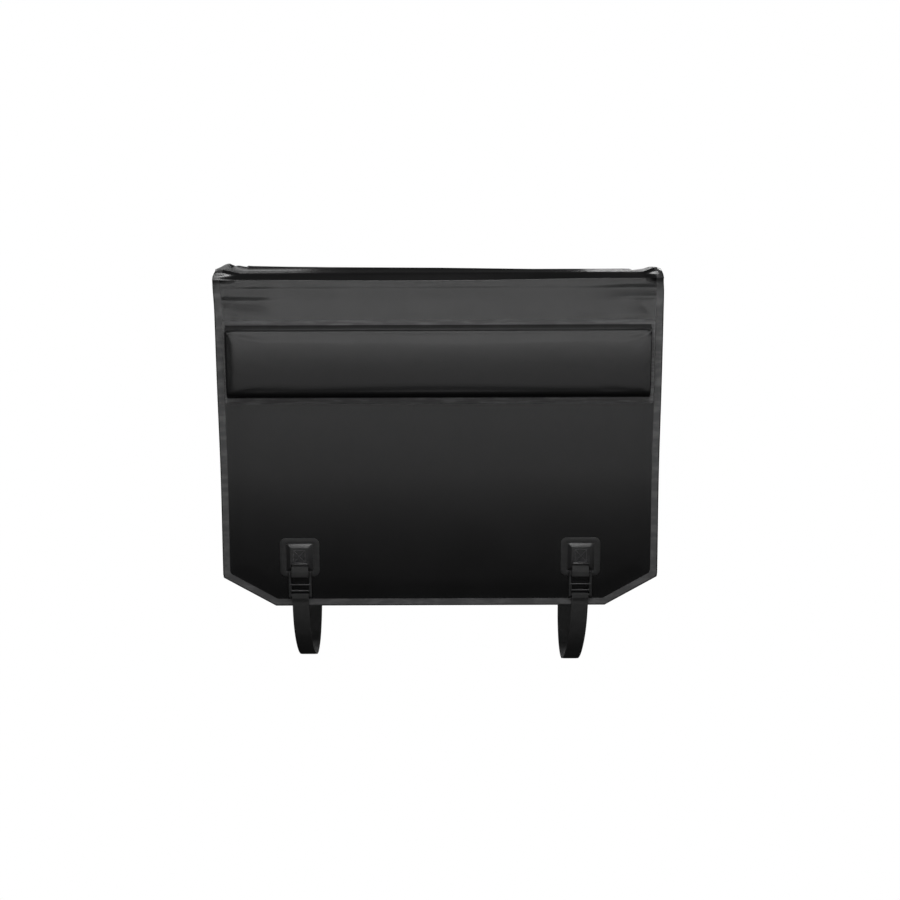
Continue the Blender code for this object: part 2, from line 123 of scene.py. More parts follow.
# The front fold: drawn straight from the tailgate's corner down to a sharp crease
CREASE_Z = -0.0125
FOLD_RADIUS = 0.0108

# The cushion inside its flange, seen from the front
CUSHION_LEFT = BUMPER_LOW.x + 0.0035
CUSHION_RIGHT = BUMPER_HIGH.x - 0.0065
CUSHION_BOTTOM = BUMPER_LOW.z + 0.0108
CUSHION_TOP = BUMPER_HIGH.z - 0.0088
CUSHION_BACK = -FACE_Y - 0.0014
CUSHION_DEPTH = 0.0270
CUSHION_SAG = 2.5
CUSHION_SHELF = 0.0080
SHELF_ROUNDING = 0.20
# Distances from the cushion's edges at which its rows and columns lie
EDGE_STEPS = (0.0, 0.0008, 0.0017, 0.0027, 0.0038, 0.0050, 0.0063, 0.0077, 0.0092, 0.0110,
              0.0130, 0.0155, 0.0185, 0.0220)
CLOTH_FRAMES = 20

# Bars of the buckle, above the front hem's lower edge
BAR_HEIGHT = 0.0036
TAB_BAR = 0.0610
UPPER_BAR = 0.0428
MIDDLE_BAR = 0.0308
STRAP_BAR = 0.0218
LOOP_DROP = {"left": 0.124, "right": 0.135}
LOOP_SWING = {"left": 0.0035, "right": -0.0090}
LOOP_SHAPE = ((0, 1), (0.03, 0.72), (0.13, 0.42), (0.33, 0.14), (0.60, 0), (0.84, 0.12),
              (0.96, 0.42), (1, 0.80))
WEBBING_THICKNESS = 0.0014
WEBBING_WIDTH = 0.032
WEBBING_STEP = 0.0012
STRAP_TAIL = 0.006
TAB_SPREADS = FRONT_HEM_Z + 0.0678

# Patches, and the lower lip of the moulded caps
PATCH_CORNER = 0.012
CAP_LIP_Z = FRONT_HEM_Z + 0.083

# Soft lights: name, place, what it faces, width, height and power
LIGHTS = (
    ("front_softbox", (0, -2.9, -0.23), (0, -0.07, -0.23), 2.8, 0.22, 10),
    ("low_strip", (0, -1.6, -0.58), (0, -0.07, -0.58), 2.1, 0.3, 1.35),
    ("high_front", (0, -1.39, 1.46), (0, -0.07, -0.3), 1.6, 0.5, 34),
    ("left_wall", (-2.4, -1.3, -0.2), (0, -0.07, -0.2), 2.2, 1.1, 1.0),
    ("right_wall", (2.4, -1.3, -0.2), (0, -0.07, -0.2), 2.2, 1.1, 7.5),
    ("rear_softbox", (0, 2.9, -0.23), (0, 0.07, -0.23), 2.8, 0.22, 8),
    ("rear_high_left", (-1.6, 1.7, 2.0), (0, 0.05, -0.3), 1.2, 1.0, 40),
    ("rear_high_right", (1.6, 1.7, 2.0), (0, 0.05, -0.3), 1.2, 1.0, 40),
    ("glint_left", (-0.98, 2.3, 0.78), (-0.35, 0.05, 0.0), 0.95, 0.45, 1.0),
    ("glint_right", (0.98, 2.3, 0.30), (0.35, 0.05, 0.0), 0.95, 0.18, 1.0),
)
WORLD_STRENGTH = 0.014
FLOOR_COLOUR = (0.03, 0.03, 0.03, 1)
FLOOR_CLEARANCE = 0.03
CAMERA_PLACE = (0.0212, -2.5593, 0.1079)
CAMERA_TURN = (80, 0.193, 0)
CAMERA_LENS = 53.32


def pattern_run(z):
    """Distance along the flat pattern from the middle of the top down to height z."""
    return HALF_FLAT + BEND_LENGTH - BEND_RADIUS - z


FRONT_RUN = pattern_run(FRONT_HEM_Z)
REAR_RUN = pattern_run(REAR_HEM_Z)


class BikePadSizes(bpy.types.PropertyGroup):
    crown: bpy.props.FloatProperty(
        name="Cushion crown",
        description="How far the cushion's front swells beyond its cut shape",
        default=0.0005, min=0.0, max=0.0012, unit="LENGTH", subtype="DISTANCE",
    )
    wrinkle: bpy.props.FloatProperty(
        name="Wrinkle depth",
        description="Depth of the folds under the top edge",
        default=0.0006, min=0.0, max=0.0015, unit="LENGTH", subtype="DISTANCE",
    )
    left_curl: bpy.props.FloatProperty(
        name="Left corner lift",
        description="How far the left corner of the top curls up at the rear",
        default=0.0141, min=0.0, max=0.016, unit="LENGTH", subtype="DISTANCE",
    )
    right_curl: bpy.props.FloatProperty(
        name="Right corner lift",
        description="How far the right corner of the top curls up at the rear",
        default=0.0049, min=0.0, max=0.016, unit="LENGTH", subtype="DISTANCE",
    )
    stitch_length: bpy.props.FloatProperty(
        name="Stitch length",
        description="Length of one stitch of the box stitching",
        default=0.0024, min=0.001, max=0.005, unit="LENGTH", subtype="DISTANCE",
    )


class BikePadColours(bpy.types.PropertyGroup):
    fabric: bpy.props.FloatVectorProperty(
        name="Coated fabric", description="Colour of the coated fabric",
        default=(0.0065, 0.0065, 0.0067), size=3, min=0.0, max=1.0, subtype="COLOR",
    )
    weld: bpy.props.FloatVectorProperty(
        name="Welded band", description="Colour of the pressed, welded hems and flanges",
        default=(0.087, 0.087, 0.088), size=3, min=0.0, max=1.0, subtype="COLOR",
    )
    lining: bpy.props.FloatVectorProperty(
        name="Lining", description="Colour of the brushed lining",
        default=(0.030, 0.030, 0.032), size=3, min=0.0, max=1.0, subtype="COLOR",
    )
    webbing: bpy.props.FloatVectorProperty(
        name="Webbing", description="Colour of the woven straps",
        default=(0.021, 0.021, 0.021), size=3, min=0.0, max=1.0, subtype="COLOR",
    )
    moulded: bpy.props.FloatVectorProperty(
        name="Moulded plastic", description="Colour of the caps and buckles",
        default=(0.015, 0.015, 0.0155), size=3, min=0.0, max=1.0, subtype="COLOR",
    )
    thread: bpy.props.FloatVectorProperty(
        name="Thread", description="Colour of the box stitching",
        default=(0.090, 0.090, 0.092), size=3, min=0.0, max=1.0, subtype="COLOR",
    )


# Selecting, finishing and placing


def deselect_all():
    for thing in bpy.context.view_layer.objects:
        thing.select_set(False)
    bpy.context.view_layer.objects.active = None


def activate(thing):
    deselect_all()
    thing.select_set(True)
    bpy.context.view_layer.objects.active = thing


def apply_place(thing):
    activate(thing)
    bpy.ops.object.transform_apply(location=True, rotation=True, scale=True)


def apply_modifiers(thing):
    activate(thing)
    for modifier in list(thing.modifiers):
        bpy.ops.object.modifier_apply(modifier=modifier.name)


def select_in_edit(thing, mode, test):
    """In edit mode, select only the points, edges or faces that pass a test."""
    bpy.ops.mesh.select_mode(type=mode)
    bpy.ops.mesh.select_all(action="DESELECT")
    bm = bmesh.from_edit_mesh(thing.data)
    bm.normal_update()
    kinds = {"VERT": bm.verts, "EDGE": bm.edges, "FACE": bm.faces}
    for item in kinds[mode]:
        if test(item):
            item.select_set(True)
    bm.select_flush_mode()
    bmesh.update_edit_mesh(thing.data)


def mesh_object(name, points, faces):
    mesh = bpy.data.meshes.new(name)
    mesh.from_pydata(points, [], faces)
    mesh.update()
    thing = bpy.data.objects.new(name, mesh)
    bpy.context.scene.collection.objects.link(thing)
    return thing


def make_normals_outward(thing):
    activate(thing)
    bpy.ops.object.mode_set(mode="EDIT")
    bpy.ops.mesh.select_all(action="SELECT")
    bpy.ops.mesh.remove_doubles(threshold=1e-6)
    bpy.ops.mesh.normals_make_consistent(inside=False)
    bpy.ops.object.mode_set(mode="OBJECT")


def add_bevel(thing, width, segments=3, angle=30):
    bevel = thing.modifiers.new("Rounded edges", "BEVEL")
    bevel.width = width
    bevel.segments = segments
    bevel.limit_method = "ANGLE"
    bevel.angle_limit = math.radians(angle)
    bevel.harden_normals = False
    apply_modifiers(thing)


def finish_piece(thing, name, material, replaced):
    """Name a piece, dress it, and let it ride on the pad."""
    thing.name = name
    thing.data.name = name
    thing.data.materials.clear()
    thing.data.materials.append(material)
    activate(thing)
    bpy.ops.object.shade_smooth_by_angle(angle=math.radians(40))
    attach(thing, "root")
    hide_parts(*replaced)


def smooth_step(value):
    share = np.clip(value, 0.0, 1.0)
    return share * share * (3 - 2 * share)


def bell(value):
    return np.exp(-value * value)


# The pad's flat pattern and how it folds


def fold_over(x, s, n):
    """Carry pattern points (x, s, n) to their places; the sides flare a little at the fold."""
    side = np.where(s < 0, -1.0, 1.0)
    run = np.abs(s)
    flat = np.minimum(run, HALF_FLAT)
    angle = np.clip((run - HALF_FLAT) / BEND_RADIUS, 0, math.pi / 2)
    drop = np.maximum(run - HALF_FLAT - BEND_LENGTH, 0)
    reach = BEND_RADIUS + n
    y = side * (flat + reach * np.sin(angle))
    z = np.where(run <= HALF_FLAT, n, reach * np.cos(angle) - BEND_RADIUS - drop)
    low = np.where(s < 0, smooth_step((drop - 0.42) / 0.20), 0.0)
    z = z - 0.0008 * low
    left = smooth_step((-x - 0.36) / 0.05)
    right = smooth_step((x - 0.36) / 0.05)
    front = np.where(s < 0, 1.0, 0.0)
    flare = 0.0018 * bell((z + 0.018) / 0.030) * front - 0.0016 * smooth_step((z + 0.004) / 0.006)
    flare = flare - 0.0024 * bell((z - 0.0070) / 0.0032)
    round_off = 0.0043 * bell((z - 0.0075) / 0.008) + 0.0014 * bell((z + 0.012) / 0.012)
    x = x - left * flare - right * round_off
    x = x * (1 - 0.0040 * front * bell((z + 0.38) / 0.14))
    return np.stack([x, y, z], axis=-1)


def half_width_at(s):
    """The pattern's half width at a run s, where its corners are cut off."""
    front = np.clip((s + FRONT_RUN) / FRONT_CHAMFER[1], 0, 1)
    rear = np.clip((REAR_RUN - s) / REAR_CHAMFER[1], 0, 1)
    return HALF_WIDTH - FRONT_CHAMFER[0] * (1 - front) - REAR_CHAMFER[0] * (1 - rear)


def edge_distance(x, s):
    """Distance from a pattern point to the nearest side of the outline."""
    across = HALF_WIDTH - np.abs(x)
    front = s + FRONT_RUN
    rear = REAR_RUN - s
    near = np.minimum(np.minimum(across, front), rear)
    for (wide, high), end in ((FRONT_CHAMFER, front), (REAR_CHAMFER, rear)):
        corner = (across * high + end * wide - wide * high) / math.hypot(wide, high)
        near = np.minimum(near, corner)
    return np.maximum(near, 0.0)


def graded(low, high, fine, coarse, fine_length):
    """Values from low to high, close together near both ends."""
    count = int(round(fine_length / fine))
    near = [low + fine_length * i / count for i in range(count)]
    far = [high - fine_length * i / count for i in range(count)]
    middle = np.linspace(
        low + fine_length, high - fine_length, int((high - low - 2 * fine_length) / coarse) + 1
    )
    return np.array(near + list(middle) + far[::-1])


def pattern_grid(columns, rows):
    """Grid of x and s whose columns follow the cut corners."""
    s = np.asarray(rows)[:, None] + np.zeros(len(columns))[None, :]
    x = half_width_at(s) * np.asarray(columns)[None, :]
    return x, s


def cover_rows():
    front = graded(-FRONT_RUN, -pattern_run(-0.090), 0.0022, 0.0070, 0.028)
    heights = [*np.linspace(-0.090, CREASE_Z - 0.0012, 56)[1:], CREASE_Z - 0.0005, CREASE_Z,
               CREASE_Z + 0.0005, CREASE_Z + 0.0018, -BEND_RADIUS]
    below = np.array([-pattern_run(z) for z in heights])
    bend = np.linspace(-HALF_FLAT - BEND_LENGTH, -HALF_FLAT, 11)[1:]
    top = np.linspace(-HALF_FLAT, HALF_FLAT, 26)[1:]
    back_bend = np.linspace(HALF_FLAT, HALF_FLAT + BEND_LENGTH, 9)[1:]
    rear = graded(HALF_FLAT + BEND_LENGTH, REAR_RUN, 0.0022, 0.0070, 0.028)[1:]
    return np.concatenate([front, below, bend, top, back_bend, rear])


def crease_rise(x):
    """How much higher the crease lies towards the sides than in the middle."""
    return 0.0022 * smooth_step((-x - 0.10) / 0.28) + 0.0044 * smooth_step((x - 0.02) / 0.36)


def follow_crease(x, s):
    """Shift the rows near the crease so that one of them runs along it."""
    from_crease = s + pattern_run(CREASE_Z)
    return s + crease_rise(x) * smooth_step(1 - np.abs(from_crease) / 0.014)


def corner_lift(x, s, sizes):
    """How far the top's side margins curl up, for the cover and the lining alike."""
    along = np.clip((s + HALF_FLAT) / (2 * HALF_FLAT), 0, 1)
    left_x = [-0.419, -0.414, -0.408, -0.402, -0.397, -0.389, -0.379, -0.371, -0.360]
    left_rear = [0.78, 0.93, 1.0, 0.78, 0.50, 0.31, 0.18, 0.03, 0.0]
    left_front = [0.50, 0.50, 0.48, 0.42, 0.34, 0.22, 0.09, 0.0, 0.0]
    right_x = [0.355, 0.368, 0.376, 0.384, 0.392, 0.402, 0.411, 0.419]
    right_rear = [0.0, -0.10, -0.34, -0.28, -0.08, 0.40, 1.0, 0.88]
    right_front = [0.0, 0.0, 0.0, 0.15, 0.60, 1.35, 1.65, 1.0]
    share = along ** 1.5
    left = np.interp(x, left_x, left_rear) * share + np.interp(x, left_x, left_front) * (1 - share)
    right = np.interp(x, right_x, right_rear) * share
    right += np.interp(x, right_x, right_front) * (1 - share)
    amount = np.where(x < 0, left * sizes.left_curl, right * sizes.right_curl)
    front = smooth_step((s + HALF_FLAT + BEND_LENGTH + 0.010) / (BEND_LENGTH + 0.010))
    rear = smooth_step((HALF_FLAT + BEND_LENGTH + 0.050 - s) / 0.060)
    return amount * front * rear


def top_height(x, s):
    """Height of the cover above the tailgate along its top, low at the front fold."""
    places = [-0.419, -0.405, -0.390, -0.379, -0.374, -0.371, -0.295, -0.214, 0.0,
              0.185, 0.335, 0.371, 0.375, 0.390, 0.405, 0.419]
    rear = [2.6, 6.0, 8.2, 8.4, 9.0, 11.8, 10.2, 8.9, 7.2,
            4.2, 4.2, 4.6, 2.9, 3.4, 3.4, 2.6]
    rear_n = np.interp(x, places, np.array(rear) / 1000)
    along = np.clip((s + HALF_FLAT) / (2 * HALF_FLAT), 0, 1)
    front_n = FOLD_RADIUS - BEND_RADIUS
    return front_n + (rear_n - front_n) * along ** 5.0


def tuck(below, steep, long):
    """A tucked fold: it drops back steeply, then comes forward again over a longer way."""
    return smooth_step(below / long) - smooth_step((below + steep) / steep)


def front_folds(x, z, sizes):
    """Shallow folds and dimples in the front face under its top edge."""
    deep = sizes.wrinkle
    waver = 0.8 + 0.12 * np.sin(23 * x + 0.6) + 0.08 * np.sin(61 * x + 2.1)
    towards_right = smooth_step((x - 0.28) / 0.08)
    strength = 0.40 * waver + 0.45 * bell((x + 0.345) / 0.025) + 0.90 * towards_right
    folds = deep * strength * tuck(-0.0270 - z, 0.0055 + 0.0040 * towards_right, 0.026)
    left = smooth_step((-0.300 - x) / 0.04) + 0.25 * smooth_step((-0.235 - x) / 0.06)
    right = smooth_step((x - 0.330) / 0.03) * smooth_step((0.412 - x) / 0.012)
    line = -0.0480 - 0.002 * smooth_step(x / 0.3)
    second = 1.05 * left * smooth_step((x + 0.414) / 0.012) + 0.75 * right
    folds += deep * second * tuck(line - 0.0015 - z, 0.0105, 0.028)
    folds -= 0.55 * deep * bell(np.hypot(x + 0.386, z + 0.078) / 0.0085)
    folds += 0.25 * deep * bell(np.hypot((x + 0.398) / 1.4, z + 0.059) / 0.008)
    slant = (x - 0.384) * 0.75 + (z + 0.0640) * 0.66
    across = -(x - 0.384) * 0.66 + (z + 0.0640) * 0.75
    folds -= 0.35 * deep * bell(slant / 0.0060) * bell(across / 0.018)
    folds += 0.25 * deep * bell(np.hypot((x - 0.362) / 1.6, z + 0.0740) / 0.009)
    folds -= 0.25 * deep * bell(np.hypot((x - 0.339) / 1.5, z + 0.0650) / 0.010)
    return folds


def front_share(s):
    """1 on the pad's front, 0 at its rear, changing over the top."""
    return smooth_step((HALF_FLAT - s) / (2 * HALF_FLAT))


def hem_share(x, s):
    """How far a point lies outside the stuffed part: 1 on the hem, 0 on the full face."""
    slope = HEM_SLOPE["rear"] + (HEM_SLOPE["front"] - HEM_SLOPE["rear"]) * front_share(s)
    return 1 - smooth_step((edge_distance(x, s) - HEM_WIDTH) / slope)


def hem_lift(x, s, sizes):
    """How far the hem stands off the tailgate, for the cover and the lining alike."""
    return np.maximum(face_height(x, s, sizes) - HEM_STEP - HEM_TOP, 0) * front_share(s)


def cover_height(x, s, sizes):
    """Height of the cover's outer face above the lining's inner face."""
    puff = face_height(x, s, sizes)
    hem = np.minimum(HEM_TOP, puff) + hem_lift(x, s, sizes)
    return puff + (hem - puff) * hem_share(x, s) + corner_lift(x, s, sizes)


def face_height(x, s, sizes):
    """Height of the stuffed face above the lining's inner face, where no hem flattens it."""
    run = np.abs(s)
    z = -(run - HALF_FLAT - BEND_LENGTH) - BEND_RADIUS
    upright = run > HALF_FLAT + BEND_LENGTH
    on_front = upright & (s < 0)
    puff = np.full_like(x, PAD_TOP)
    broad = 0.5 + 0.25 * np.sin(7.3 * x + 4.1 * s) + 0.25 * np.sin(11.7 * s - 5.3 * x + 1.0)
    clear = smooth_step((np.abs(z + 0.5) - 0.10) / 0.06)
    puff -= np.where(on_front, 0.0004 * broad * clear, 0.0009 * broad)
    folds = front_folds(x, z, sizes)
    crease_z = CREASE_Z + crease_rise(x)
    near_top = smooth_step((z + 0.0890) / 0.006) * smooth_step((crease_z - z) / 0.003)
    puff += np.where(on_front, folds * near_top, 0.0)

    # The front fold is drawn straight down to its crease
    out = BEND_RADIUS + PAD_TOP
    crease = np.arctan2(crease_z + BEND_RADIUS, out)
    slope = crease + np.arccos(FOLD_RADIUS / np.hypot(out, crease_z + BEND_RADIUS))
    turn = np.clip((run - HALF_FLAT) / BEND_RADIUS, 0, math.pi / 2)
    up = math.pi / 2 - turn
    drawn = FOLD_RADIUS / np.cos(np.minimum(up - slope, 0.0)) - BEND_RADIUS
    in_front_bend = (s < 0) & (run > HALF_FLAT) & ~upright
    puff = np.where(in_front_bend, drawn, puff)
    above_crease = (FOLD_RADIUS - (z + BEND_RADIUS) * np.sin(slope)) / np.cos(slope) - BEND_RADIUS
    puff = np.where(on_front, np.minimum(puff, above_crease), puff)
    on_top = run <= HALF_FLAT
    top = top_height(x, s)
    puff = np.where(on_top, top, puff)
    in_rear_bend = (s > 0) & (run > HALF_FLAT) & ~upright
    back = top + (PAD_TOP - top) * smooth_step(turn / (math.pi / 2))
    return np.where(in_rear_bend, back, puff)


def grid_faces(rows, columns, flip=False, start=0):
    faces = []
    for r in range(rows - 1):
        for c in range(columns - 1):
            a = start + r * columns + c
            face = (a, a + 1, a + columns + 1, a + columns)
            faces.append(face[::-1] if flip else face)
    return faces


def closed_sheet(name, upper, lower, x, s):
    """A closed solid between two grids of points, with its pattern kept as a UV map."""
    rows, columns = x.shape
    total = rows * columns
    points = np.concatenate([upper.reshape(-1, 3), lower.reshape(-1, 3)])
    faces = grid_faces(rows, columns) + grid_faces(rows, columns, True, total)
    ring = list(range(columns))
    ring += [r * columns + columns - 1 for r in range(1, rows)]
    ring += [(rows - 1) * columns + c for c in range(columns - 2, -1, -1)]
    ring += [r * columns for r in range(rows - 2, 0, -1)]
    for a, b in zip(ring, ring[1:] + ring[:1]):
        faces.append((a, a + total, b + total, b))
    thing = mesh_object(name, points.tolist(), faces)
    pattern = np.stack([x.ravel(), s.ravel()], axis=-1)
    pattern = np.concatenate([pattern, pattern])
    layer = thing.data.uv_layers.new(name="pattern")
    index = np.empty(len(thing.data.loops), dtype=np.int32)
    thing.data.loops.foreach_get("vertex_index", index)
    layer.data.foreach_set("uv", pattern[index].astype(np.float32).ravel())
    edge = edge_distance(x, s).ravel()
    kept = thing.data.attributes.new("edge_distance", "FLOAT", "POINT")
    kept.data.foreach_set("value", np.concatenate([edge, edge]).astype(np.float32))
    return thing


# Materials


def place_node(tree, kind, inputs=(), **settings):
    """Add a node. An input is given a value, or the socket that feeds it."""
    made = tree.nodes.new(kind)
    for name, value in settings.items():
        setattr(made, name, value)
    for socket, value in dict(inputs).items():
        if isinstance(value, bpy.types.NodeSocket):
            tree.links.new(value, made.inputs[socket])
        else:
            made.inputs[socket].default_value = value
    return made


def math_of(tree, operation, first, second):
    made = place_node(tree, "ShaderNodeMath", {0: first, 1: second}, operation=operation)
    return made.outputs[0]


def blend_of(tree, factor, first, second):
    made = place_node(
        tree, "ShaderNodeMix", {0: factor, 2: first, 3: second}, data_type="FLOAT"
    )
    return made.outputs[0]


def colour_of(tree, factor, first, second):
    made = place_node(
        tree, "ShaderNodeMix", {0: factor, 6: first, 7: second}, data_type="RGBA"
    )
    return made.outputs[2]


def ramp_of(tree, value, low, high, to_low=0.0, to_high=1.0):
    made = place_node(
        tree,
        "ShaderNodeMapRange",
        {0: value, 1: low, 2: high, 3: to_low, 4: to_high},
        interpolation_type="SMOOTHSTEP",
    )
    return made.outputs[0]


def new_group(name, inputs, outputs):
    """A node group with float or vector sockets, given as name: default."""
    group = bpy.data.node_groups.new(name, "ShaderNodeTree")
    for label, default in inputs.items():
        kind = "NodeSocketVector" if default is None else "NodeSocketFloat"
        socket = group.interface.new_socket(label, in_out="INPUT", socket_type=kind)
        if default is not None:
            socket.default_value = default
    for label in outputs:
        group.interface.new_socket(label, in_out="OUTPUT", socket_type="NodeSocketFloat")
    source = group.nodes.new("NodeGroupInput")
    target = group.nodes.new("NodeGroupOutput")
    return group, source.outputs, target.inputs


def noise_of(tree, vector, scale, detail=2.0, roughness=0.5):
    made = place_node(
        tree,
        "ShaderNodeTexNoise",
        {"Vector": vector, "Scale": scale, "Detail": detail, "Roughness": roughness},
    )
    return made.outputs["Fac"]


def build_grain_group():
    """Fine pebbled grain of a coated fabric, over a faint cross weave."""
    group, given, put = new_group(
        "Coated grain", {"Vector": None, "Scale": 700.0, "Weave": 0.25}, ["Height", "Tint"]
    )
    cells = place_node(
        group,
        "ShaderNodeTexVoronoi",
        {"Vector": given["Vector"], "Scale": given["Scale"]},
        feature="SMOOTH_F1",
    ).outputs["Distance"]
    fine = noise_of(group, given["Vector"], given["Scale"], 3.0, 0.6)
    wave_x = place_node(
        group, "ShaderNodeTexWave", {"Vector": given["Vector"], "Scale": 180.0, "Distortion": 0.4},
        bands_direction="X",
    ).outputs["Fac"]
    wave_y = place_node(
        group, "ShaderNodeTexWave", {"Vector": given["Vector"], "Scale": 180.0, "Distortion": 0.4},
        bands_direction="Y",
    ).outputs["Fac"]
    weave = math_of(group, "MULTIPLY", wave_x, wave_y)
    grain = math_of(group, "ADD", math_of(group, "MULTIPLY", cells, 0.7), fine)
    height = math_of(group, "ADD", grain, math_of(group, "MULTIPLY", weave, given["Weave"]))
    group.links.new(height, put["Height"])
    group.links.new(fine, put["Tint"])
    return group


def build_wear_group():
    """Broad, soft patches of handling and dust."""
    group, given, put = new_group(
        "Handling marks", {"Vector": None, "Size": 9.0}, ["Broad", "Streaks"]
    )
    broad = noise_of(group, given["Vector"], given["Size"], 4.0, 0.55)
    stretched = place_node(
        group,
        "ShaderNodeMapping",
        {"Vector": given["Vector"], "Scale": (22.0, 60.0, 210.0)},
    ).outputs[0]
    streaks = noise_of(group, stretched, 1.0, 3.0, 0.6)
    group.links.new(ramp_of(group, broad, 0.2, 0.8), put["Broad"])
    group.links.new(ramp_of(group, streaks, 0.42, 0.66), put["Streaks"])
    return group


def build_weave_group():
    """Ribs and picks of woven webbing, on a UV map in metres (across, along)."""
    group, given, put = new_group(
        "Webbing weave", {"Vector": None, "Rib": 0.0016, "Pick": 0.0022}, ["Height", "Tint"]
    )
    parts = place_node(group, "ShaderNodeSeparateXYZ", {0: given["Vector"]}).outputs
    rib = math_of(group, "DIVIDE", parts[0], given["Rib"])
    number = math_of(group, "FLOOR", rib, 0.0)
    inside = math_of(group, "SUBTRACT", math_of(group, "FRACT", rib, 0.0), 0.5)
    round_rib = math_of(
        group, "SUBTRACT", 1.0,
        math_of(group, "MULTIPLY", math_of(group, "MULTIPLY", inside, inside), 4.0),
    )
    pick = math_of(group, "DIVIDE", parts[1], given["Pick"])
    stagger = math_of(group, "ADD", pick, math_of(group, "MULTIPLY", number, 0.5))
    lean = math_of(group, "ADD", stagger, math_of(group, "MULTIPLY", inside, 0.7))
    swell = math_of(group, "SINE", math_of(group, "MULTIPLY", lean, 2 * math.pi), 0.0)
    lift = math_of(group, "ADD", math_of(group, "MULTIPLY", swell, 0.25), 0.75)
    fibre = noise_of(group, place_node(
        group, "ShaderNodeMapping", {"Vector": given["Vector"], "Scale": (9000.0, 900.0, 1.0)},
    ).outputs[0], 1.0, 2.0)
    height = math_of(group, "MULTIPLY", round_rib, lift)
    group.links.new(
        math_of(group, "ADD", height, math_of(group, "MULTIPLY", fibre, 0.25)), put["Height"]
    )
    group.links.new(math_of(group, "ADD", math_of(group, "MULTIPLY", height, 0.7),
                            math_of(group, "MULTIPLY", fibre, 0.3)), put["Tint"])
    return group


def build_edge_group():
    """Edges that rubbing has polished, found by how sharply the surface turns."""
    group, given, put = new_group("Rubbed edges", {"Vector": None, "Low": 0.53, "High": 0.60},
                                  ["Mask"])
    turn = place_node(group, "ShaderNodeNewGeometry").outputs["Pointiness"]
    patchy = ramp_of(group, noise_of(group, given["Vector"], 160.0, 3.0), 0.3, 0.6)
    raised = place_node(
        group, "ShaderNodeMapRange", {0: turn, 1: given["Low"], 2: given["High"]}
    ).outputs[0]
    group.links.new(math_of(group, "MULTIPLY", raised, patchy), put["Mask"])
    return group


def use_group(tree, group, **inputs):
    made = tree.nodes.new("ShaderNodeGroup")
    made.node_tree = group
    for label, value in inputs.items():
        if isinstance(value, bpy.types.NodeSocket):
            tree.links.new(value, made.inputs[label])
        else:
            made.inputs[label].default_value = value
    return made.outputs


def add_bump(tree, shader, height, strength, distance):
    bump = place_node(
        tree, "ShaderNodeBump", {"Strength": strength, "Distance": distance, "Height": height}
    )
    tree.links.new(bump.outputs[0], shader.inputs["Normal"])


def new_material(name):
    material = bpy.data.materials.new(name)
    material.use_nodes = True
    tree = material.node_tree
    return material, tree, tree.nodes["Principled BSDF"]


def opaque(colour, factor=1.0):
    return (*[channel * factor for channel in colour], 1.0)


GROUPS = {}
MATERIALS = {}


def coated_fabric(name, coordinates, band, colours, roughness=0.23, pale=1.0):
    """Coated fabric; band is how much of it is welded: a number, or 'edge' for a hem."""
    material, tree, shader = new_material(name)
    if coordinates == "UV":
        place = place_node(tree, "ShaderNodeUVMap", uv_map="pattern").outputs[0]
    else:
        place = place_node(tree, "ShaderNodeTexCoord").outputs["Object"]
    grain = use_group(tree, GROUPS["grain"], Vector=place)
    wear = use_group(tree, GROUPS["wear"], Vector=place)
    if band == "edge":
        edge = place_node(
            tree, "ShaderNodeAttribute", attribute_name="edge_distance"
        ).outputs["Fac"]
        weld = ramp_of(tree, edge, HEM_WIDTH - 0.0004, HEM_WIDTH + 0.0008, 1.0, 0.0)
        # painted shade: the welded hem's paleness is dimmed over the top of the pad, where little
        # light falls
        run = place_node(tree, "ShaderNodeSeparateXYZ", {0: place}).outputs[1]
        top_shade_mask = math_of(tree, "MULTIPLY", ramp_of(tree, run, *TOP_SHADE_STARTS),
                       ramp_of(tree, run, *TOP_SHADE_ENDS, 1.0, 0.0))
        painted_top_shade = ramp_of(tree, top_shade_mask, 0.0, 1.0, 1.0, PALE_HEM_LEFT_IN_TOP_SHADE)
        weld = math_of(tree, "MULTIPLY", weld, painted_top_shade)
        rim = ramp_of(tree, edge, RIM_WIDTH * 0.7, RIM_WIDTH * 1.3, 1.0, 0.0)
    else:
        weld = band
    fabric = colour_of(tree, wear["Broad"], opaque(colours.fabric, 0.9),
                       opaque(colours.fabric, 1.1))
    welded = colour_of(tree, wear["Streaks"], opaque(colours.weld, 0.78 * pale),
                       opaque(colours.weld, 1.25 * pale))
    both = colour_of(tree, weld, fabric, welded)
    if band == "edge":
        both = colour_of(tree, rim, both, opaque(colours.fabric, 0.8))
    tree.links.new(both, shader.inputs["Base Color"])
    worn = ramp_of(tree, wear["Broad"], 0.0, 1.0, roughness - 0.008, roughness + 0.008)
    flat = ramp_of(tree, wear["Streaks"], 0.0, 1.0, 0.56, 0.44)
    tree.links.new(blend_of(tree, weld, worn, flat), shader.inputs["Roughness"])
    lines = math_of(tree, "MULTIPLY", wear["Streaks"], weld)
    height = math_of(tree, "ADD", grain["Height"], math_of(tree, "MULTIPLY", lines, 1.2))
    if band == "edge":
        height = math_of(tree, "SUBTRACT", height, math_of(tree, "MULTIPLY", rim, 1.5))
    add_bump(tree, shader, height, 0.22, 0.00022)
    return material


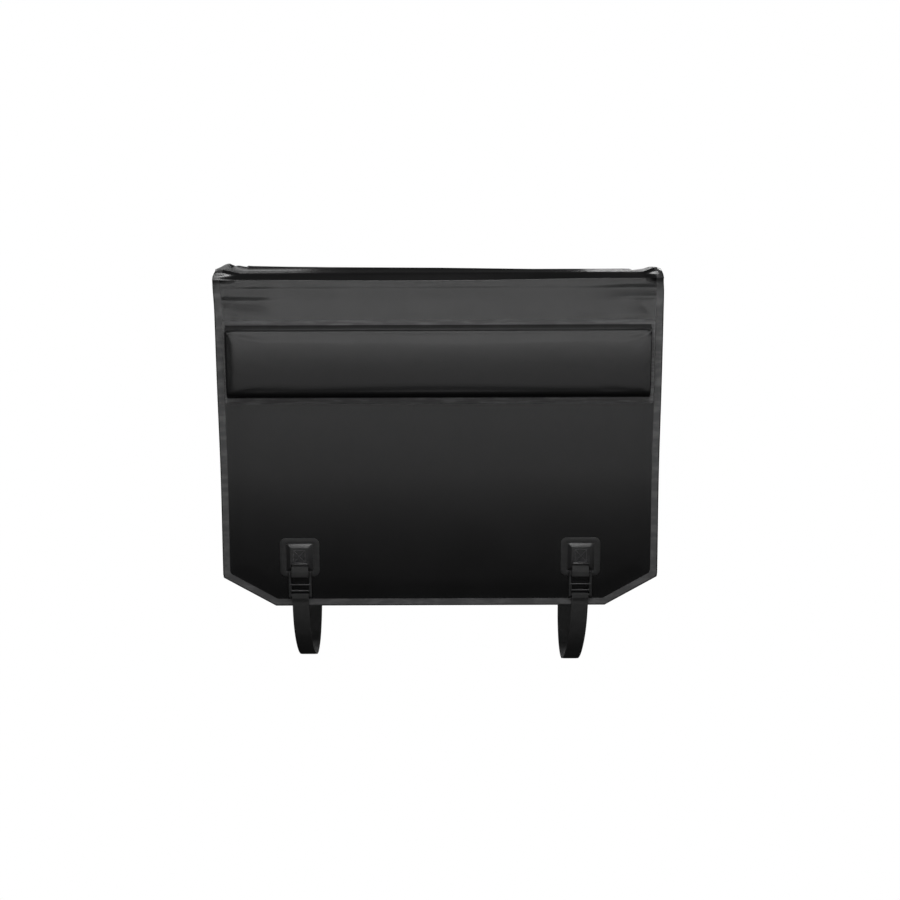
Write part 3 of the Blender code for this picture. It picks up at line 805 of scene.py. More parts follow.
def lining_material(colours):
    """Brushed lining with short pile, welded flat along its edge."""
    material, tree, shader = new_material("brushed_lining")
    place = place_node(tree, "ShaderNodeUVMap", uv_map="pattern").outputs[0]
    edge = place_node(tree, "ShaderNodeAttribute", attribute_name="edge_distance").outputs["Fac"]
    weld = ramp_of(tree, edge, HEM_WIDTH - 0.001, HEM_WIDTH + 0.001, 1.0, 0.0)
    wear = use_group(tree, GROUPS["wear"], Vector=place, Size=14.0)
    pile = noise_of(tree, place, 1500.0, 4.0, 0.7)
    tuft = noise_of(tree, place, 260.0, 3.0, 0.6)
    soft = colour_of(tree, tuft, opaque(colours.lining, 0.6), opaque(colours.lining, 1.5))
    mixed = colour_of(tree, weld, soft, opaque(colours.weld, 0.7))
    shade = colour_of(tree, ramp_of(tree, wear["Broad"], 0.0, 1.0, 0.0, 0.25), mixed,
                      opaque(colours.lining, 0.5))
    tree.links.new(shade, shader.inputs["Base Color"])
    tree.links.new(blend_of(tree, weld, 0.92, 0.6), shader.inputs["Roughness"])
    shader.inputs["Sheen Weight"].default_value = 0.25
    shader.inputs["Sheen Roughness"].default_value = 0.6
    height = math_of(tree, "ADD", pile, math_of(tree, "MULTIPLY", tuft, 1.5))
    add_bump(tree, shader, height, 0.5, 0.0004)
    return material


def webbing_material(colours):
    material, tree, shader = new_material("woven_webbing")
    place = place_node(tree, "ShaderNodeUVMap", uv_map="pattern").outputs[0]
    weave = use_group(tree, GROUPS["weave"], Vector=place)
    wear = use_group(tree, GROUPS["wear"], Vector=place, Size=40.0)
    yarn = colour_of(tree, weave["Tint"], opaque(colours.webbing, 0.35),
                     opaque(colours.webbing, 1.7))
    faded = colour_of(tree, ramp_of(tree, wear["Broad"], 0.0, 1.0, 0.0, 0.3), yarn,
                      opaque(colours.webbing, 2.0))
    tree.links.new(faded, shader.inputs["Base Color"])
    tree.links.new(ramp_of(tree, weave["Tint"], 0.0, 1.0, 0.75, 0.5), shader.inputs["Roughness"])
    add_bump(tree, shader, weave["Height"], 0.7, 0.0004)
    return material


def moulded_material(colours):
    """Fine spark-eroded plastic, polished along its edges."""
    material, tree, shader = new_material("moulded_plastic")
    place = place_node(tree, "ShaderNodeTexCoord").outputs["Object"]
    fine = noise_of(tree, place, 2600.0, 2.0, 0.6)
    wear = use_group(tree, GROUPS["wear"], Vector=place, Size=60.0)
    edge = use_group(tree, GROUPS["edge"], Vector=place)
    base = colour_of(tree, wear["Broad"], opaque(colours.moulded, 0.8),
                     opaque(colours.moulded, 1.25))
    rubbed = colour_of(tree, edge["Mask"], base, opaque(colours.moulded, 2.6))
    tree.links.new(rubbed, shader.inputs["Base Color"])
    tree.links.new(ramp_of(tree, edge["Mask"], 0.0, 1.0, 0.42, 0.3), shader.inputs["Roughness"])
    add_bump(tree, shader, fine, 0.25, 0.00015)
    return material


def thread_material(colours):
    """Twisted sewing thread."""
    material, tree, shader = new_material("sewing_thread")
    place = place_node(tree, "ShaderNodeTexCoord").outputs["Object"]
    twist = place_node(
        tree, "ShaderNodeTexWave", {"Vector": place, "Scale": 900.0, "Distortion": 1.0},
        bands_direction="DIAGONAL",
    ).outputs["Fac"]
    shade = colour_of(tree, twist, opaque(colours.thread, 0.5), opaque(colours.thread, 1.4))
    tree.links.new(shade, shader.inputs["Base Color"])
    tree.links.new(ramp_of(tree, twist, 0.0, 1.0, 0.6, 0.45), shader.inputs["Roughness"])
    add_bump(tree, shader, twist, 0.5, 0.0002)
    return material


# Pieces


def spaced(length, near, coarse):
    """Distances from 0 to length: the given near ones at both ends, evenly spread between."""
    count = max(int((length - 2 * near[-1]) / coarse), 2)
    between = np.linspace(near[-1], length - near[-1], count + 1)[1:-1]
    return np.array([*near, *between, *[length - gap for gap in reversed(near)]])


def rounded_edge(distance, radius):
    """Share of the full depth at a distance from an edge with a quarter-round section."""
    inside = np.clip(distance / radius, 0, 1)
    return np.sqrt(1 - (1 - inside) ** 2)


def cushion_depth(x, z):
    """Depth of the stuffed cushion: full above, sagging below, soft at its left end."""
    from_left, from_right = x - CUSHION_LEFT, CUSHION_RIGHT - x
    from_bottom, from_top = z - CUSHION_BOTTOM, CUSHION_TOP - z
    face = CUSHION_DEPTH - CUSHION_SAG * np.maximum(from_top - 0.012, 0) ** 3
    face -= 0.0022 * np.clip(1 - from_left / 0.022, 0, 1) ** 2
    face -= 0.0005 * np.clip(1 - from_right / 0.010, 0, 1) ** 2
    slope, soften = from_top / CUSHION_SHELF, SHELF_ROUNDING
    blend = np.clip(0.5 + 0.5 * (1 - slope) / soften, 0, 1)
    above = (1 - blend) + slope * blend - soften * blend * (1 - blend)
    ends = rounded_edge(from_left, 0.0045) * rounded_edge(from_right, 0.0040)
    return face * above * rounded_edge(from_bottom, 0.0135) * ends


def modelled_cushion(sizes):
    """The bumper cushion's body, swollen by air pressure and held to a small crown."""
    columns = CUSHION_LEFT + spaced(CUSHION_RIGHT - CUSHION_LEFT, EDGE_STEPS, 0.0060)
    rows = CUSHION_BOTTOM + spaced(CUSHION_TOP - CUSHION_BOTTOM, EDGE_STEPS, 0.0040)
    x, z = np.meshgrid(columns, rows)
    depth = cushion_depth(x, z)
    front = np.stack([x, CUSHION_BACK - depth, z], axis=-1).reshape(-1, 3)
    behind = np.stack([x, np.full_like(x, CUSHION_BACK), z], axis=-1).reshape(-1, 3)
    height, width = x.shape
    faces = grid_faces(height, width) + grid_faces(height, width, True, height * width)
    body = mesh_object("bumper_cushion", np.concatenate([front, behind]).tolist(), faces)
    make_normals_outward(body)
    rest = np.array([v.co[:] for v in body.data.vertices])
    swell_with_cloth(body)
    swollen = np.array([v.co[:] for v in body.data.vertices])
    moved = swollen - rest
    length = np.linalg.norm(moved, axis=1, keepdims=True)
    moved = moved * (sizes.crown / (sizes.crown + length))
    inner = np.minimum.reduce([rest[:, 0] - CUSHION_LEFT, CUSHION_RIGHT - rest[:, 0],
                               rest[:, 2] - CUSHION_BOTTOM, CUSHION_TOP - rest[:, 2]])
    share = smooth_step((inner - 0.004) / 0.016) * (rest[:, 1] < CUSHION_BACK - 0.004)
    placed = rest.copy()
    placed[:, 1] += np.minimum(moved[:, 1], 0) * share
    body.data.vertices.foreach_set("co", placed.astype(np.float32).ravel())
    body.data.update()
    return body


def swell_with_cloth(body):
    """Blow the cushion up with its rear held at the weld, and keep the shape it takes."""
    activate(body)
    cloth = body.modifiers.new("Pressure", "CLOTH")
    settings = cloth.settings
    settings.quality = 4
    settings.mass = 0.3
    settings.tension_stiffness = 25
    settings.compression_stiffness = 25
    settings.shear_stiffness = 10
    settings.bending_stiffness = 1.0
    settings.use_pressure = True
    settings.uniform_pressure_force = 4
    held = body.vertex_groups.new(name="weld")
    held.add([v.index for v in body.data.vertices if v.co.y > CUSHION_BACK - 0.0005], 1.0, "ADD")
    settings.vertex_group_mass = held.name
    settings.effector_weights.gravity = 0
    for step in range(1, CLOTH_FRAMES + 1):
        bpy.context.scene.frame_set(step)
    bpy.ops.object.modifier_apply(modifier=cloth.name)
    bpy.context.scene.frame_set(1)


def crease_corners(body):
    """Pinch the cushion's fabric into its four corners."""
    points = np.array([v.co[:] for v in body.data.vertices])
    low_x, high_x = CUSHION_LEFT, CUSHION_RIGHT
    low_z, high_z = CUSHION_BOTTOM, CUSHION_TOP - 0.006
    depth = np.clip((CUSHION_BACK - points[:, 1]) / CUSHION_DEPTH, 0, 1)
    for corner_x, sign_x in ((low_x, 1), (high_x, -1)):
        for corner_z, sign_z in ((low_z, 1), (high_z, -1)):
            along_x = (points[:, 0] - corner_x) * sign_x
            along_z = (points[:, 2] - corner_z) * sign_z
            away = (along_x + along_z) / math.sqrt(2)
            off = (along_x - along_z) / math.sqrt(2)
            near = smooth_step((away + 0.004) / 0.008) * bell(away / 0.010)
            ridge = bell(off / 0.0024) * 0.0009 - bell((off - 0.0050) / 0.003) * 0.0005
            ridge -= bell((off + 0.0050) / 0.003) * 0.0005
            points[:, 1] -= ridge * near * depth
    body.data.vertices.foreach_set("co", points.astype(np.float32).ravel())
    body.data.update()


class BIKEPAD_OT_materials(bpy.types.Operator):
    """Build the fabric, lining, webbing, plastic and thread finishes"""

    bl_idname = "bike_pad.materials"
    bl_label = "Finishes"

    def execute(self, context):
        colours = context.scene.bike_pad_colours
        GROUPS["grain"] = build_grain_group()
        GROUPS["wear"] = build_wear_group()
        GROUPS["weave"] = build_weave_group()
        GROUPS["edge"] = build_edge_group()
        MATERIALS["cover"] = coated_fabric("welded_cover_fabric", "UV", "edge", colours)
        MATERIALS["cushion"] = coated_fabric("cushion_fabric", "OBJECT", 0.0, colours)
        MATERIALS["flange"] = coated_fabric("welded_flange", "OBJECT", 1.0, colours,
                                             pale=1.42)
        MATERIALS["patch"] = coated_fabric("welded_patch", "OBJECT", 0.14, colours, 0.42)
        MATERIALS["lining"] = lining_material(colours)
        MATERIALS["webbing"] = webbing_material(colours)
        MATERIALS["moulded"] = moulded_material(colours)
        MATERIALS["thread"] = thread_material(colours)
        return {"FINISHED"}


class BIKEPAD_OT_cover(bpy.types.Operator):
    """Build the padded cover, folded over the tailgate, with its welded hem"""

    bl_idname = "bike_pad.cover"
    bl_label = "Padded cover"

    def execute(self, context):
        sizes = context.scene.bike_pad_sizes
        columns = graded(-HALF_WIDTH, HALF_WIDTH, 0.0020, 0.0066, 0.052) / HALF_WIDTH
        x, s = pattern_grid(columns, cover_rows())
        s = follow_crease(x, s)
        n = cover_height(x, s, sizes)
        upper = fold_over(x, s, n)
        raised = hem_lift(x, s, sizes) * hem_share(x, s)
        base = HEM_BASE + raised + corner_lift(x, s, sizes)
        lower = fold_over(x, s, np.minimum(base, n - 0.0010))
        cover = closed_sheet("pad_cover", upper, lower, x, s)
        finish_piece(
            cover, "pad_cover", MATERIALS["cover"],
            ("outer_cover", "front_foam", "top_foam", "rear_foam"),
        )
        return {"FINISHED"}


class BIKEPAD_OT_lining(bpy.types.Operator):
    """Build the brushed lining that lies against the tailgate"""

    bl_idname = "bike_pad.lining"
    bl_label = "Lining"

    def execute(self, context):
        sizes = context.scene.bike_pad_sizes
        columns = graded(-HALF_WIDTH, HALF_WIDTH, 0.0045, 0.0160, 0.054) / HALF_WIDTH
        x, s = pattern_grid(columns, cover_rows())
        s = follow_crease(x, s)
        lift = corner_lift(x, s, sizes) + hem_lift(x, s, sizes) * hem_share(x, s)
        upper = fold_over(x, s, lift + LINING_THICKNESS)
        lower = fold_over(x, s, lift)
        lining = closed_sheet("pad_lining", upper, lower, x, s)
        finish_piece(lining, "pad_lining", MATERIALS["lining"], ("inner_lining",))
        area = 2 * HALF_WIDTH * (FRONT_RUN + REAR_RUN)
        area -= FRONT_CHAMFER[0] * FRONT_CHAMFER[1] + REAR_CHAMFER[0] * REAR_CHAMFER[1]
        return {"FINISHED"}


class BIKEPAD_OT_bumper(bpy.types.Operator):
    """Build the stuffed bumper cushion and the flange that welds it to the cover"""

    bl_idname = "bike_pad.bumper"
    bl_label = "Bumper cushion"

    def execute(self, context):
        sizes = context.scene.bike_pad_sizes
        body = modelled_cushion(sizes)
        crease_corners(body)
        finish_piece(body, "bumper_cushion", MATERIALS["cushion"],
                     ("bumper_foam",))
        centre = (BUMPER_LOW + BUMPER_HIGH) / 2
        size = BUMPER_HIGH - BUMPER_LOW
        thick = 0.0012
        deselect_all()
        bpy.ops.mesh.primitive_cube_add(
            size=1,
            location=(centre.x, -FACE_Y - GAP - thick / 2, centre.z),
            scale=(size.x, thick, size.z),
        )
        flange = bpy.context.active_object
        apply_place(flange)
        bpy.ops.object.mode_set(mode="EDIT")
        select_in_edit(flange, "EDGE", is_along_depth)
        bpy.ops.mesh.bevel(offset=0.004, segments=4)
        select_in_edit(flange, "FACE", lambda f: f.normal.y < -0.9)
        bpy.ops.mesh.inset(thickness=0.0007, depth=0.0)
        bpy.ops.mesh.inset(thickness=0.0006, depth=-0.0003)
        bpy.ops.object.mode_set(mode="OBJECT")
        finish_piece(flange, "bumper_flange", MATERIALS["flange"],
                     ("bumper_cover",))
        return {"FINISHED"}


def is_along_depth(edge):
    first, second = (vert.co for vert in edge.verts)
    return abs(first.y - second.y) > 1e-5 and abs(first.x - second.x) < 1e-6


def patch_plate(node, facing):
    """A welded square of cover fabric with round corners and a pressed border."""
    low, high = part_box(node)
    centre = (low + high) / 2
    size = high - low
    deselect_all()
    bpy.ops.mesh.primitive_cube_add(size=1, location=centre, scale=size)
    patch = bpy.context.active_object
    apply_place(patch)
    bpy.ops.object.mode_set(mode="EDIT")
    select_in_edit(patch, "EDGE", is_along_depth)
    bpy.ops.mesh.bevel(offset=PATCH_CORNER, segments=8)
    select_in_edit(patch, "FACE", lambda f: f.normal.y * facing > 0.9)
    bpy.ops.mesh.inset(thickness=0.0006, depth=0.0002)
    bpy.ops.mesh.inset(thickness=0.0085, depth=0.0)
    bpy.ops.mesh.inset(thickness=0.0012, depth=-0.0002)
    bpy.ops.mesh.inset(thickness=0.0010, depth=0.0)
    bpy.ops.mesh.inset(thickness=0.0012, depth=0.0002)
    bpy.ops.object.mode_set(mode="OBJECT")
    return patch


def anchor_cap(node):
    """A moulded cap with sloping sides, open below where the webbing comes out."""
    low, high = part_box(node)
    centre = (low + high) / 2
    size = high - low
    deselect_all()
    bpy.ops.mesh.primitive_cube_add(size=1, location=centre, scale=size)
    cap = bpy.context.active_object
    apply_place(cap)
    bpy.ops.object.mode_set(mode="EDIT")
    select_in_edit(cap, "FACE", lambda f: f.normal.y < -0.9)
    bpy.ops.mesh.inset(thickness=0.0072, depth=0.0)
    select_in_edit(
        cap, "VERT",
        lambda v: v.co.y < centre.y and is_outside(v.co, low, high, 0.0050),
    )
    bpy.ops.transform.translate(value=(0, size.y * 0.80, 0))
    select_in_edit(cap, "EDGE", lambda e: is_cap_corner(e, low, high))
    bpy.ops.mesh.bevel(offset=0.0022, segments=3)
    bpy.ops.object.mode_set(mode="OBJECT")
    cut_socket(cap, low, high)
    add_bevel(cap, 0.0006, 2, 24)
    deselect_all()
    bpy.ops.mesh.primitive_cube_add(
        size=1, location=(centre.x, low.y + 0.0010, CAP_LIP_Z + 0.0012),
        rotation=(math.radians(-35), 0, 0), scale=(0.0300, 0.0032, 0.0032),
    )
    ridge = bpy.context.active_object
    apply_place(ridge)
    add_bevel(ridge, 0.0004, 2)
    return join([cap, ridge])


def is_cap_corner(edge, low, high):
    """Whether an edge runs down one of the cap's four corners, on its slope or its wall."""
    first, second = (vert.co for vert in edge.verts)
    if abs(first.y - second.y) < 1e-5:
        return False
    sloping = abs(first.x - second.x) > 1e-4 and abs(first.z - second.z) > 1e-4
    upright = abs(first.x - second.x) < 1e-6 and abs(first.z - second.z) < 1e-6
    return sloping or (upright and is_outside(first, low, high, 0.001))


def is_outside(point, low, high, margin):
    """Whether a point lies in the border of a box, seen from the front."""
    across = min(point.x - low.x, high.x - point.x)
    upright = min(point.z - low.z, high.z - point.z)
    return min(across, upright) < margin


def cut_socket(cap, low, high):
    """Open the cap's lower end and hollow it behind, for the webbing tab."""
    past = 0.004
    centre_x = (low.x + high.x) / 2
    hollow = (0.0166, high.y - 0.0037, CAP_LIP_Z + 0.024)
    mouth = (0.0168, low.y - past, CAP_LIP_Z)
    far, bottom = high.y + past, low.z - past
    for half_width, near, top in (hollow, mouth):
        deselect_all()
        bpy.ops.mesh.primitive_cube_add(
            size=1,
            location=(centre_x, (near + far) / 2, (bottom + top) / 2),
            scale=(2 * half_width, far - near, top - bottom),
        )
        cutter = bpy.context.active_object
        apply_place(cutter)
        activate(cap)
        cut = cap.modifiers.new("Socket", "BOOLEAN")
        cut.operation = "DIFFERENCE"
        cut.solver = "EXACT"
        cut.object = cutter
        bpy.ops.object.modifier_apply(modifier=cut.name)
        bpy.data.objects.remove(cutter, do_unlink=True)


class BIKEPAD_OT_anchors(bpy.types.Operator):
    """Build the welded patches and the moulded caps of the four anchors"""

    bl_idname = "bike_pad.anchors"
    bl_label = "Anchors"

    def execute(self, context):
        for side in SIDES:
            for place, facing in (("front", -1), ("rear", 1)):
                node = f"{place}_patch_{side}"
                finish_piece(patch_plate(node, facing), "dressed_" + node,
                             MATERIALS["patch"], (node,))
            node = "anchor_cap_" + side
            finish_piece(anchor_cap(node), "dressed_" + node, MATERIALS["moulded"],
                         (node,))
        return {"FINISHED"}


# Webbing


def arc(centre, radius, start, end, steps):
    """Points (y, z) on an arc; angles in degrees, 0 towards +y, 90 towards +z."""
    angles = np.radians(np.linspace(start, end, steps + 1))
    return [(centre[0] + radius * math.cos(a), centre[1] + radius * math.sin(a)) for a in angles]


def wrap_round_bar(node, edge_z, over):
    """Points (y, z) round a buckle bar from front to rear, over its top or under it."""
    low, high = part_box(node)
    reach = GAP + WEBBING_THICKNESS / 2
    turn = 90 if over else -90
    front = arc((low.y, edge_z), reach, 180, 180 - turn, 8)
    rear = arc((high.y, edge_z), reach, turn, 0, 8)
    return front + rear


def smooth_path(points, steps):
    """A Catmull-Rom curve through the points."""
    padded = [points[0], *points, points[-1]]
    curve = []
    for index in range(1, len(padded) - 2):
        p0, p1, p2, p3 = (Vector(p) for p in padded[index - 1 : index + 3])
        for step in range(steps):
            t = step / steps
            point = 2 * p1 + (p2 - p0) * t + (2 * p0 - 5 * p1 + 4 * p2 - p3) * t * t
            point += (3 * p1 - p0 - 3 * p2 + p3) * t**3
            curve.append(tuple(0.5 * point))
    curve.append(tuple(points[-1]))
    return curve


def spread_evenly(path, spacing):
    """The same path with points at even distances, its corners slightly cut."""
    points = np.array(path)
    steps = np.linalg.norm(np.diff(points, axis=0), axis=1)
    total = np.concatenate([[0], np.cumsum(steps)])
    count = max(int(total[-1] / spacing), 2)
    wanted = np.linspace(0, total[-1], count + 1)
    return np.stack([np.interp(wanted, total, points[:, 0]),
                     np.interp(wanted, total, points[:, 1])], axis=-1), wanted


def webbing_along(name, path, middle, width):
    """Flat webbing with rounded selvedges along a path of (y, z) points."""
    points, run = spread_evenly(path, WEBBING_STEP)
    total = run[-1]
    tangent = np.gradient(points, axis=0)
    tangent /= np.linalg.norm(tangent, axis=1, keepdims=True)
    normal = np.stack([tangent[:, 1], -tangent[:, 0]], axis=-1)
    half = width / 2
    thick = WEBBING_THICKNESS / 2
    section = []
    for across in np.linspace(-1, 1, 9):
        near_edge = max(abs(across) - 0.86, 0) / 0.14
        section.append((across * half, thick * (1 - 0.45 * near_edge**2)))
    section += [(across, -height) for across, height in reversed(section)]
    count = len(section)
    verts = []
    pattern = []
    for index, (y, z) in enumerate(points):
        centre = middle(run[index] / total)
        for across, height in section:
            verts.append((centre + across, y + normal[index][0] * height,
                          z + normal[index][1] * height))
            pattern.append((across, run[index]))
    faces = []
    for ring in range(len(points) - 1):
        for step in range(count):
            a = ring * count + step
            b = ring * count + (step + 1) % count
            faces.append((a, b, b + count, a + count))
    faces.append(tuple(range(count))[::-1])
    faces.append(tuple(range((len(points) - 1) * count, len(points) * count)))
    webbing = mesh_object(name, verts, faces)
    layer = webbing.data.uv_layers.new(name="pattern")
    for loop in webbing.data.loops:
        layer.data[loop.index].uv = pattern[loop.vertex_index]
    make_normals_outward(webbing)
    return webbing, total


def tab_path(side):
    """Out of the cap, round the buckle's top bar and back in behind."""
    tab_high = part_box("webbing_tab_" + side)[1]
    back_y = tab_high.y - WEBBING_THICKNESS / 2
    front_y = back_y - WEBBING_THICKNESS - GAP
    bar_z = FRONT_HEM_Z + TAB_BAR
    turn = wrap_round_bar("buckle_" + side, bar_z - BAR_HEIGHT / 2, over=False)
    front = [(front_y, tab_high.z), (front_y, CAP_LIP_Z - WEBBING_THICKNESS),
             (turn[0][0], TAB_SPREADS)]
    return front + turn + [(back_y, tab_high.z)]


def strap_path(side):
    """From a short tail, over the buckle's lowest bar, under the tailgate and up behind."""
    bar_z = FRONT_HEM_Z + STRAP_BAR
    strap_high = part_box("strap_" + side)[1]
    turn = wrap_round_bar("buckle_" + side, bar_z + BAR_HEIGHT / 2, over=True)
    tail = (turn[0][0], bar_z - STRAP_TAIL)
    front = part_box("buckle_" + side)[1].y + GAP + WEBBING_THICKNESS / 2
    rear = strap_high.y - WEBBING_THICKNESS / 2
    drop = LOOP_DROP[side]
    low = FRONT_HEM_Z - drop
    loop = [(front + (rear - front) * along, low + drop * up) for along, up in LOOP_SHAPE]
    return [tail] + turn + smooth_path(loop, 14) + [(rear, strap_high.z)]


class BIKEPAD_OT_webbing(bpy.types.Operator):
    """Weave the two straps and the short tabs that hold their buckles"""

    bl_idname = "bike_pad.webbing"
    bl_label = "Webbing"

    def execute(self, context):
        for side in SIDES:
            node = "webbing_tab_" + side
            low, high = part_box(node)
            centre = (low.x + high.x) / 2
            tab, length = webbing_along(node, tab_path(side), lambda share: centre,
                                        high.x - low.x)
            finish_piece(tab, "woven_tab_" + side, MATERIALS["webbing"], (node,))
            self.weave_strap(side)
        return {"FINISHED"}

    def weave_strap(self, side):
        node = "strap_" + side
        buckle_low, buckle_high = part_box("buckle_" + side)
        patch_low, patch_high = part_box("rear_patch_" + side)
        front_x = (buckle_low.x + buckle_high.x) / 2
        rear_x = (patch_low.x + patch_high.x) / 2

        def middle(share):
            along = min(max((share - 0.08) / 0.54, 0.0), 1.0)
            swing = LOOP_SWING[side] * math.sin(math.pi * min(max(share / 0.62, 0.0), 1.0)) ** 2
            return front_x + (rear_x - front_x) * along * along * (3 - 2 * along) + swing

        strap, length = webbing_along(node, strap_path(side), middle, WEBBING_WIDTH)
        finish_piece(strap, "woven_strap_" + side, MATERIALS["webbing"], (node,))


# Buckles


def add_bar(start, end, radius):
    """A round bar between two points that differ in x or in z."""
    centre = [(a + b) / 2 for a, b in zip(start, end)]
    length = math.dist(start, end)
    along_x = abs(end[0] - start[0]) > abs(end[2] - start[2])
    rotation = (0, math.pi / 2, 0) if along_x else (0, 0, 0)
    deselect_all()
    bpy.ops.mesh.primitive_cylinder_add(
        vertices=20, radius=radius, depth=length, location=centre, rotation=rotation
    )
    bar = bpy.context.active_object
    apply_place(bar)
    return bar


def add_block(low, high, bevel):
    """A block between two corners, rounded all over."""
    centre = [(a + b) / 2 for a, b in zip(low, high)]
    deselect_all()
    bpy.ops.mesh.primitive_cube_add(
        size=1, location=centre, scale=[b - a for a, b in zip(low, high)]
    )
    block = bpy.context.active_object
    apply_place(block)
    bpy.ops.object.mode_set(mode="EDIT")
    bpy.ops.mesh.select_all(action="SELECT")
    bpy.ops.mesh.bevel(offset=bevel, segments=3)
    bpy.ops.object.mode_set(mode="OBJECT")
    return block


def join(pieces):
    deselect_all()
    for piece in pieces:
        piece.select_set(True)
    bpy.context.view_layer.objects.active = pieces[0]
    bpy.ops.object.join()
    return bpy.context.active_object


def dressed_buckle(side):
    """A four-bar buckle, melted together from bars and arms."""
    low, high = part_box("buckle_" + side)
    bar_y = (low.y + high.y) / 2 - 0.0004
    arm, rounding = 0.0052, 0.0012
    pieces = []
    for left, right in ((low.x, low.x + arm), (high.x - arm, high.x)):
        pieces.append(add_block((left, low.y, low.z + 0.001), (right, high.y, high.z - 0.001),
                                rounding))
        pieces.append(add_bar(((left + right) / 2, bar_y, high.z - 0.0075),
                              ((left + right) / 2, bar_y, high.z), 0.0026))
    for height in (TAB_BAR, STRAP_BAR):
        z = FRONT_HEM_Z + height
        pieces.append(add_block((low.x + 0.002, low.y + 0.0001, z - BAR_HEIGHT / 2),
                                (high.x - 0.002, high.y - 0.0001, z + BAR_HEIGHT / 2),
                                rounding))
    ring = (high.y - low.y) / 2 * 1.32
    for height in (UPPER_BAR, MIDDLE_BAR):
        z = FRONT_HEM_Z + height
        pieces.append(add_bar((low.x + 0.0035, bar_y, z), (high.x - 0.0035, bar_y, z), ring))
    for x in (low.x + 0.0042, high.x - 0.0042):
        pieces.append(add_bar((x, bar_y, FRONT_HEM_Z + MIDDLE_BAR),
                              (x, bar_y, FRONT_HEM_Z + UPPER_BAR), ring))
    buckle = join(pieces)
    buckle.data.remesh_voxel_size = 0.00045
    bpy.ops.object.voxel_remesh()
    smooth = buckle.modifiers.new("Soften", "SMOOTH")
    smooth.factor = 0.5
    smooth.iterations = 4
    apply_modifiers(buckle)
    return buckle


class BIKEPAD_OT_buckles(bpy.types.Operator):
    """Build the two moulded strap buckles"""

    bl_idname = "bike_pad.buckles"
    bl_label = "Buckles"

    def execute(self, context):
        for side in SIDES:
            node = "buckle_" + side
            finish_piece(dressed_buckle(side), "dressed_" + node, MATERIALS["moulded"],
                         (node,))
        return {"FINISHED"}


# Stitching


def stitch_places(width, height, length):
    """Middles and slopes of the stitches of a box with a cross in it."""
    wide, high = width / 2, height / 2
    lines = (
        ((-wide, high), (wide, high)),
        ((wide, high), (wide, -high)),
        ((wide, -high), (-wide, -high)),
        ((-wide, -high), (-wide, high)),
        ((-wide, high), (wide, -high)),
        ((wide, high), (-wide, -high)),
    )
    places = []
    for (x0, z0), (x1, z1) in lines:
        total = math.hypot(x1 - x0, z1 - z0)
        count = max(int(round(total / length)), 1)
        angle = math.atan2(z1 - z0, x1 - x0)
        for number in range(count):
            share = (number + 0.5) / count
            places.append((x0 + (x1 - x0) * share, z0 + (z1 - z0) * share, angle))
    return places


def sewn_box(node, sizes):
    """Sew the box stitching: one stitch is modelled, then repeated along the seam."""
    low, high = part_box(node)
    centre = (low + high) / 2
    length = sizes.stitch_length
    deselect_all()
    bpy.ops.mesh.primitive_uv_sphere_add(segments=8, ring_count=6, radius=1)
    stitch = bpy.context.active_object
    stitch.scale = (length * 0.48, 0.00062, 0.00060)
    apply_place(stitch)
    shape = np.array([v.co[:] for v in stitch.data.vertices])
    faces = [tuple(polygon.vertices) for polygon in stitch.data.polygons]
    bpy.data.objects.remove(stitch, do_unlink=True)
    points, joined = [], []
    for x, z, angle in stitch_places(high.x - low.x, high.z - low.z, length):
        cos, sin = math.cos(angle), math.sin(angle)
        start = len(points)
        for a, b, c in shape:
            points.append((centre.x + x + a * cos - c * sin, centre.y + b,
                           centre.z + z + a * sin + c * cos))
        joined += [tuple(start + index for index in face) for face in faces]
    return mesh_object(node, points, joined)


class BIKEPAD_OT_stitching(bpy.types.Operator):
    """Sew the box stitching of the four anchors"""

    bl_idname = "bike_pad.stitching"
    bl_label = "Stitching"

    def execute(self, context):
        sizes = context.scene.bike_pad_sizes
        for side in SIDES:
            for place in ("front", "rear"):
                node = f"{place}_stitch_{side}"
                finish_piece(sewn_box(node, sizes), "sewn_" + node,
                             MATERIALS["thread"], (node,))
        return {"FINISHED"}


# Stage


def add_area(name, place, target, width, height, power):
    data = bpy.data.lights.new(name, "AREA")
    data.shape = "RECTANGLE"
    data.size = width
    data.size_y = height
    data.energy = power
    data.spread = math.pi
    light = bpy.data.objects.new(name, data)
    light.location = place
    light.visible_camera = False
    direction = Vector(target) - Vector(place)
    light.rotation_euler = direction.to_track_quat("-Z", "Y").to_euler()
    bpy.context.scene.collection.objects.link(light)


def seen_white(tree, other, output):
    """White where the camera looks straight at it, and another shader for everything else."""
    path = place_node(tree, "ShaderNodeLightPath").outputs["Is Camera Ray"]
    white = place_node(tree, "ShaderNodeEmission", {"Color": (1, 1, 1, 1), "Strength": 1.0})
    mixed = place_node(tree, "ShaderNodeMixShader", {0: path})
    tree.links.new(other, mixed.inputs[1])
    tree.links.new(white.outputs[0], mixed.inputs[2])
    tree.links.new(mixed.outputs[0], output)


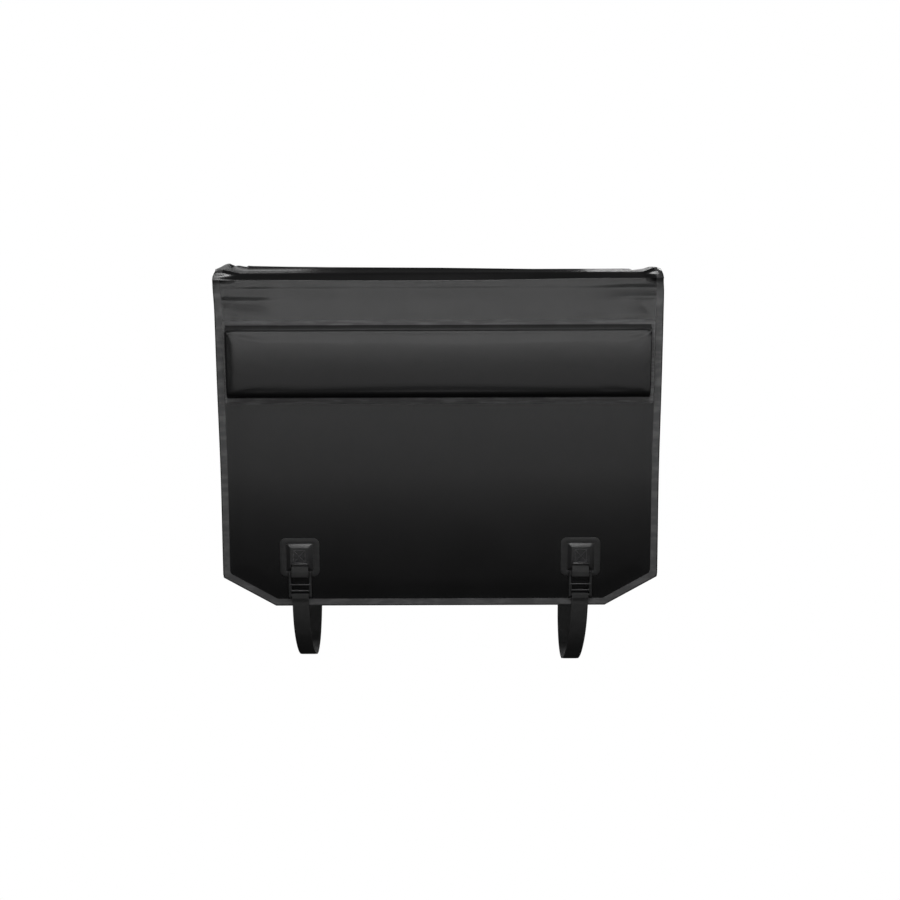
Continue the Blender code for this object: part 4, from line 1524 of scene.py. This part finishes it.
class BIKEPAD_OT_stage(bpy.types.Operator):
    """Set up the pale floor, the soft lights and the camera"""

    bl_idname = "bike_pad.stage"
    bl_label = "Stage"

    def execute(self, context):
        scene = context.scene
        scene.view_settings.view_transform = "Standard"
        scene.view_settings.look = "None"
        world = bpy.data.worlds.new("Studio")
        scene.world = world
        world.use_nodes = True
        tree = world.node_tree
        tree.nodes.clear()
        output = place_node(tree, "ShaderNodeOutputWorld").inputs[0]
        dim = place_node(
            tree, "ShaderNodeBackground", {"Color": (1, 1, 1, 1), "Strength": WORLD_STRENGTH}
        )
        seen_white(tree, dim.outputs[0], output)
        deselect_all()
        floor_z = CAD_BOX[0].z - FLOOR_CLEARANCE
        bpy.ops.mesh.primitive_plane_add(size=8, location=(0, 0, floor_z))
        floor = context.active_object
        floor.name = "floor"
        material = bpy.data.materials.new("pale_floor")
        material.use_nodes = True
        tree = material.node_tree
        tree.nodes.clear()
        output = place_node(tree, "ShaderNodeOutputMaterial").inputs[0]
        paint = place_node(tree, "ShaderNodeBsdfDiffuse", {"Color": FLOOR_COLOUR})
        seen_white(tree, paint.outputs[0], output)
        floor.data.materials.append(material)
        for light in LIGHTS:
            add_area(*light)
        data = bpy.data.cameras.new("camera")
        data.sensor_width = 36
        data.lens = CAMERA_LENS
        camera = bpy.data.objects.new("camera", data)
        camera.location = CAMERA_PLACE
        camera.rotation_euler = [math.radians(angle) for angle in CAMERA_TURN]
        scene.collection.objects.link(camera)
        scene.camera = camera
        return {"FINISHED"}


class BIKEPAD_PT_panel(bpy.types.Panel):
    """Lists the pieces of the pad in the order in which they are made"""

    bl_idname = "BIKEPAD_PT_panel"
    bl_label = "Bike pad"
    bl_space_type = "VIEW_3D"
    bl_region_type = "UI"
    bl_category = "Bike pad"

    def draw(self, context):
        layout = self.layout
        for group in (context.scene.bike_pad_sizes, context.scene.bike_pad_colours):
            for name in group.bl_rna.properties.keys():
                if name not in ("rna_type", "name"):
                    layout.prop(group, name)
        for operator in OPERATORS:
            layout.operator(operator.bl_idname)


OPERATORS = (
    BIKEPAD_OT_materials,
    BIKEPAD_OT_cover,
    BIKEPAD_OT_lining,
    BIKEPAD_OT_bumper,
    BIKEPAD_OT_anchors,
    BIKEPAD_OT_webbing,
    BIKEPAD_OT_buckles,
    BIKEPAD_OT_stitching,
    BIKEPAD_OT_stage,
)
CLASSES = (BikePadSizes, BikePadColours, *OPERATORS, BIKEPAD_PT_panel)


def register():
    for item in CLASSES:
        bpy.utils.register_class(item)
    bpy.types.Scene.bike_pad_sizes = bpy.props.PointerProperty(type=BikePadSizes)
    bpy.types.Scene.bike_pad_colours = bpy.props.PointerProperty(type=BikePadColours)


def unregister():
    del bpy.types.Scene.bike_pad_colours
    del bpy.types.Scene.bike_pad_sizes
    for item in reversed(CLASSES):
        bpy.utils.unregister_class(item)


def main():
    register()
    bpy.ops.bike_pad.materials()
    bpy.ops.bike_pad.cover()
    bpy.ops.bike_pad.lining()
    bpy.ops.bike_pad.bumper()
    bpy.ops.bike_pad.anchors()
    bpy.ops.bike_pad.webbing()
    bpy.ops.bike_pad.buckles()
    bpy.ops.bike_pad.stitching()
    bpy.ops.bike_pad.stage()


if __name__ == "__main__":
    main()
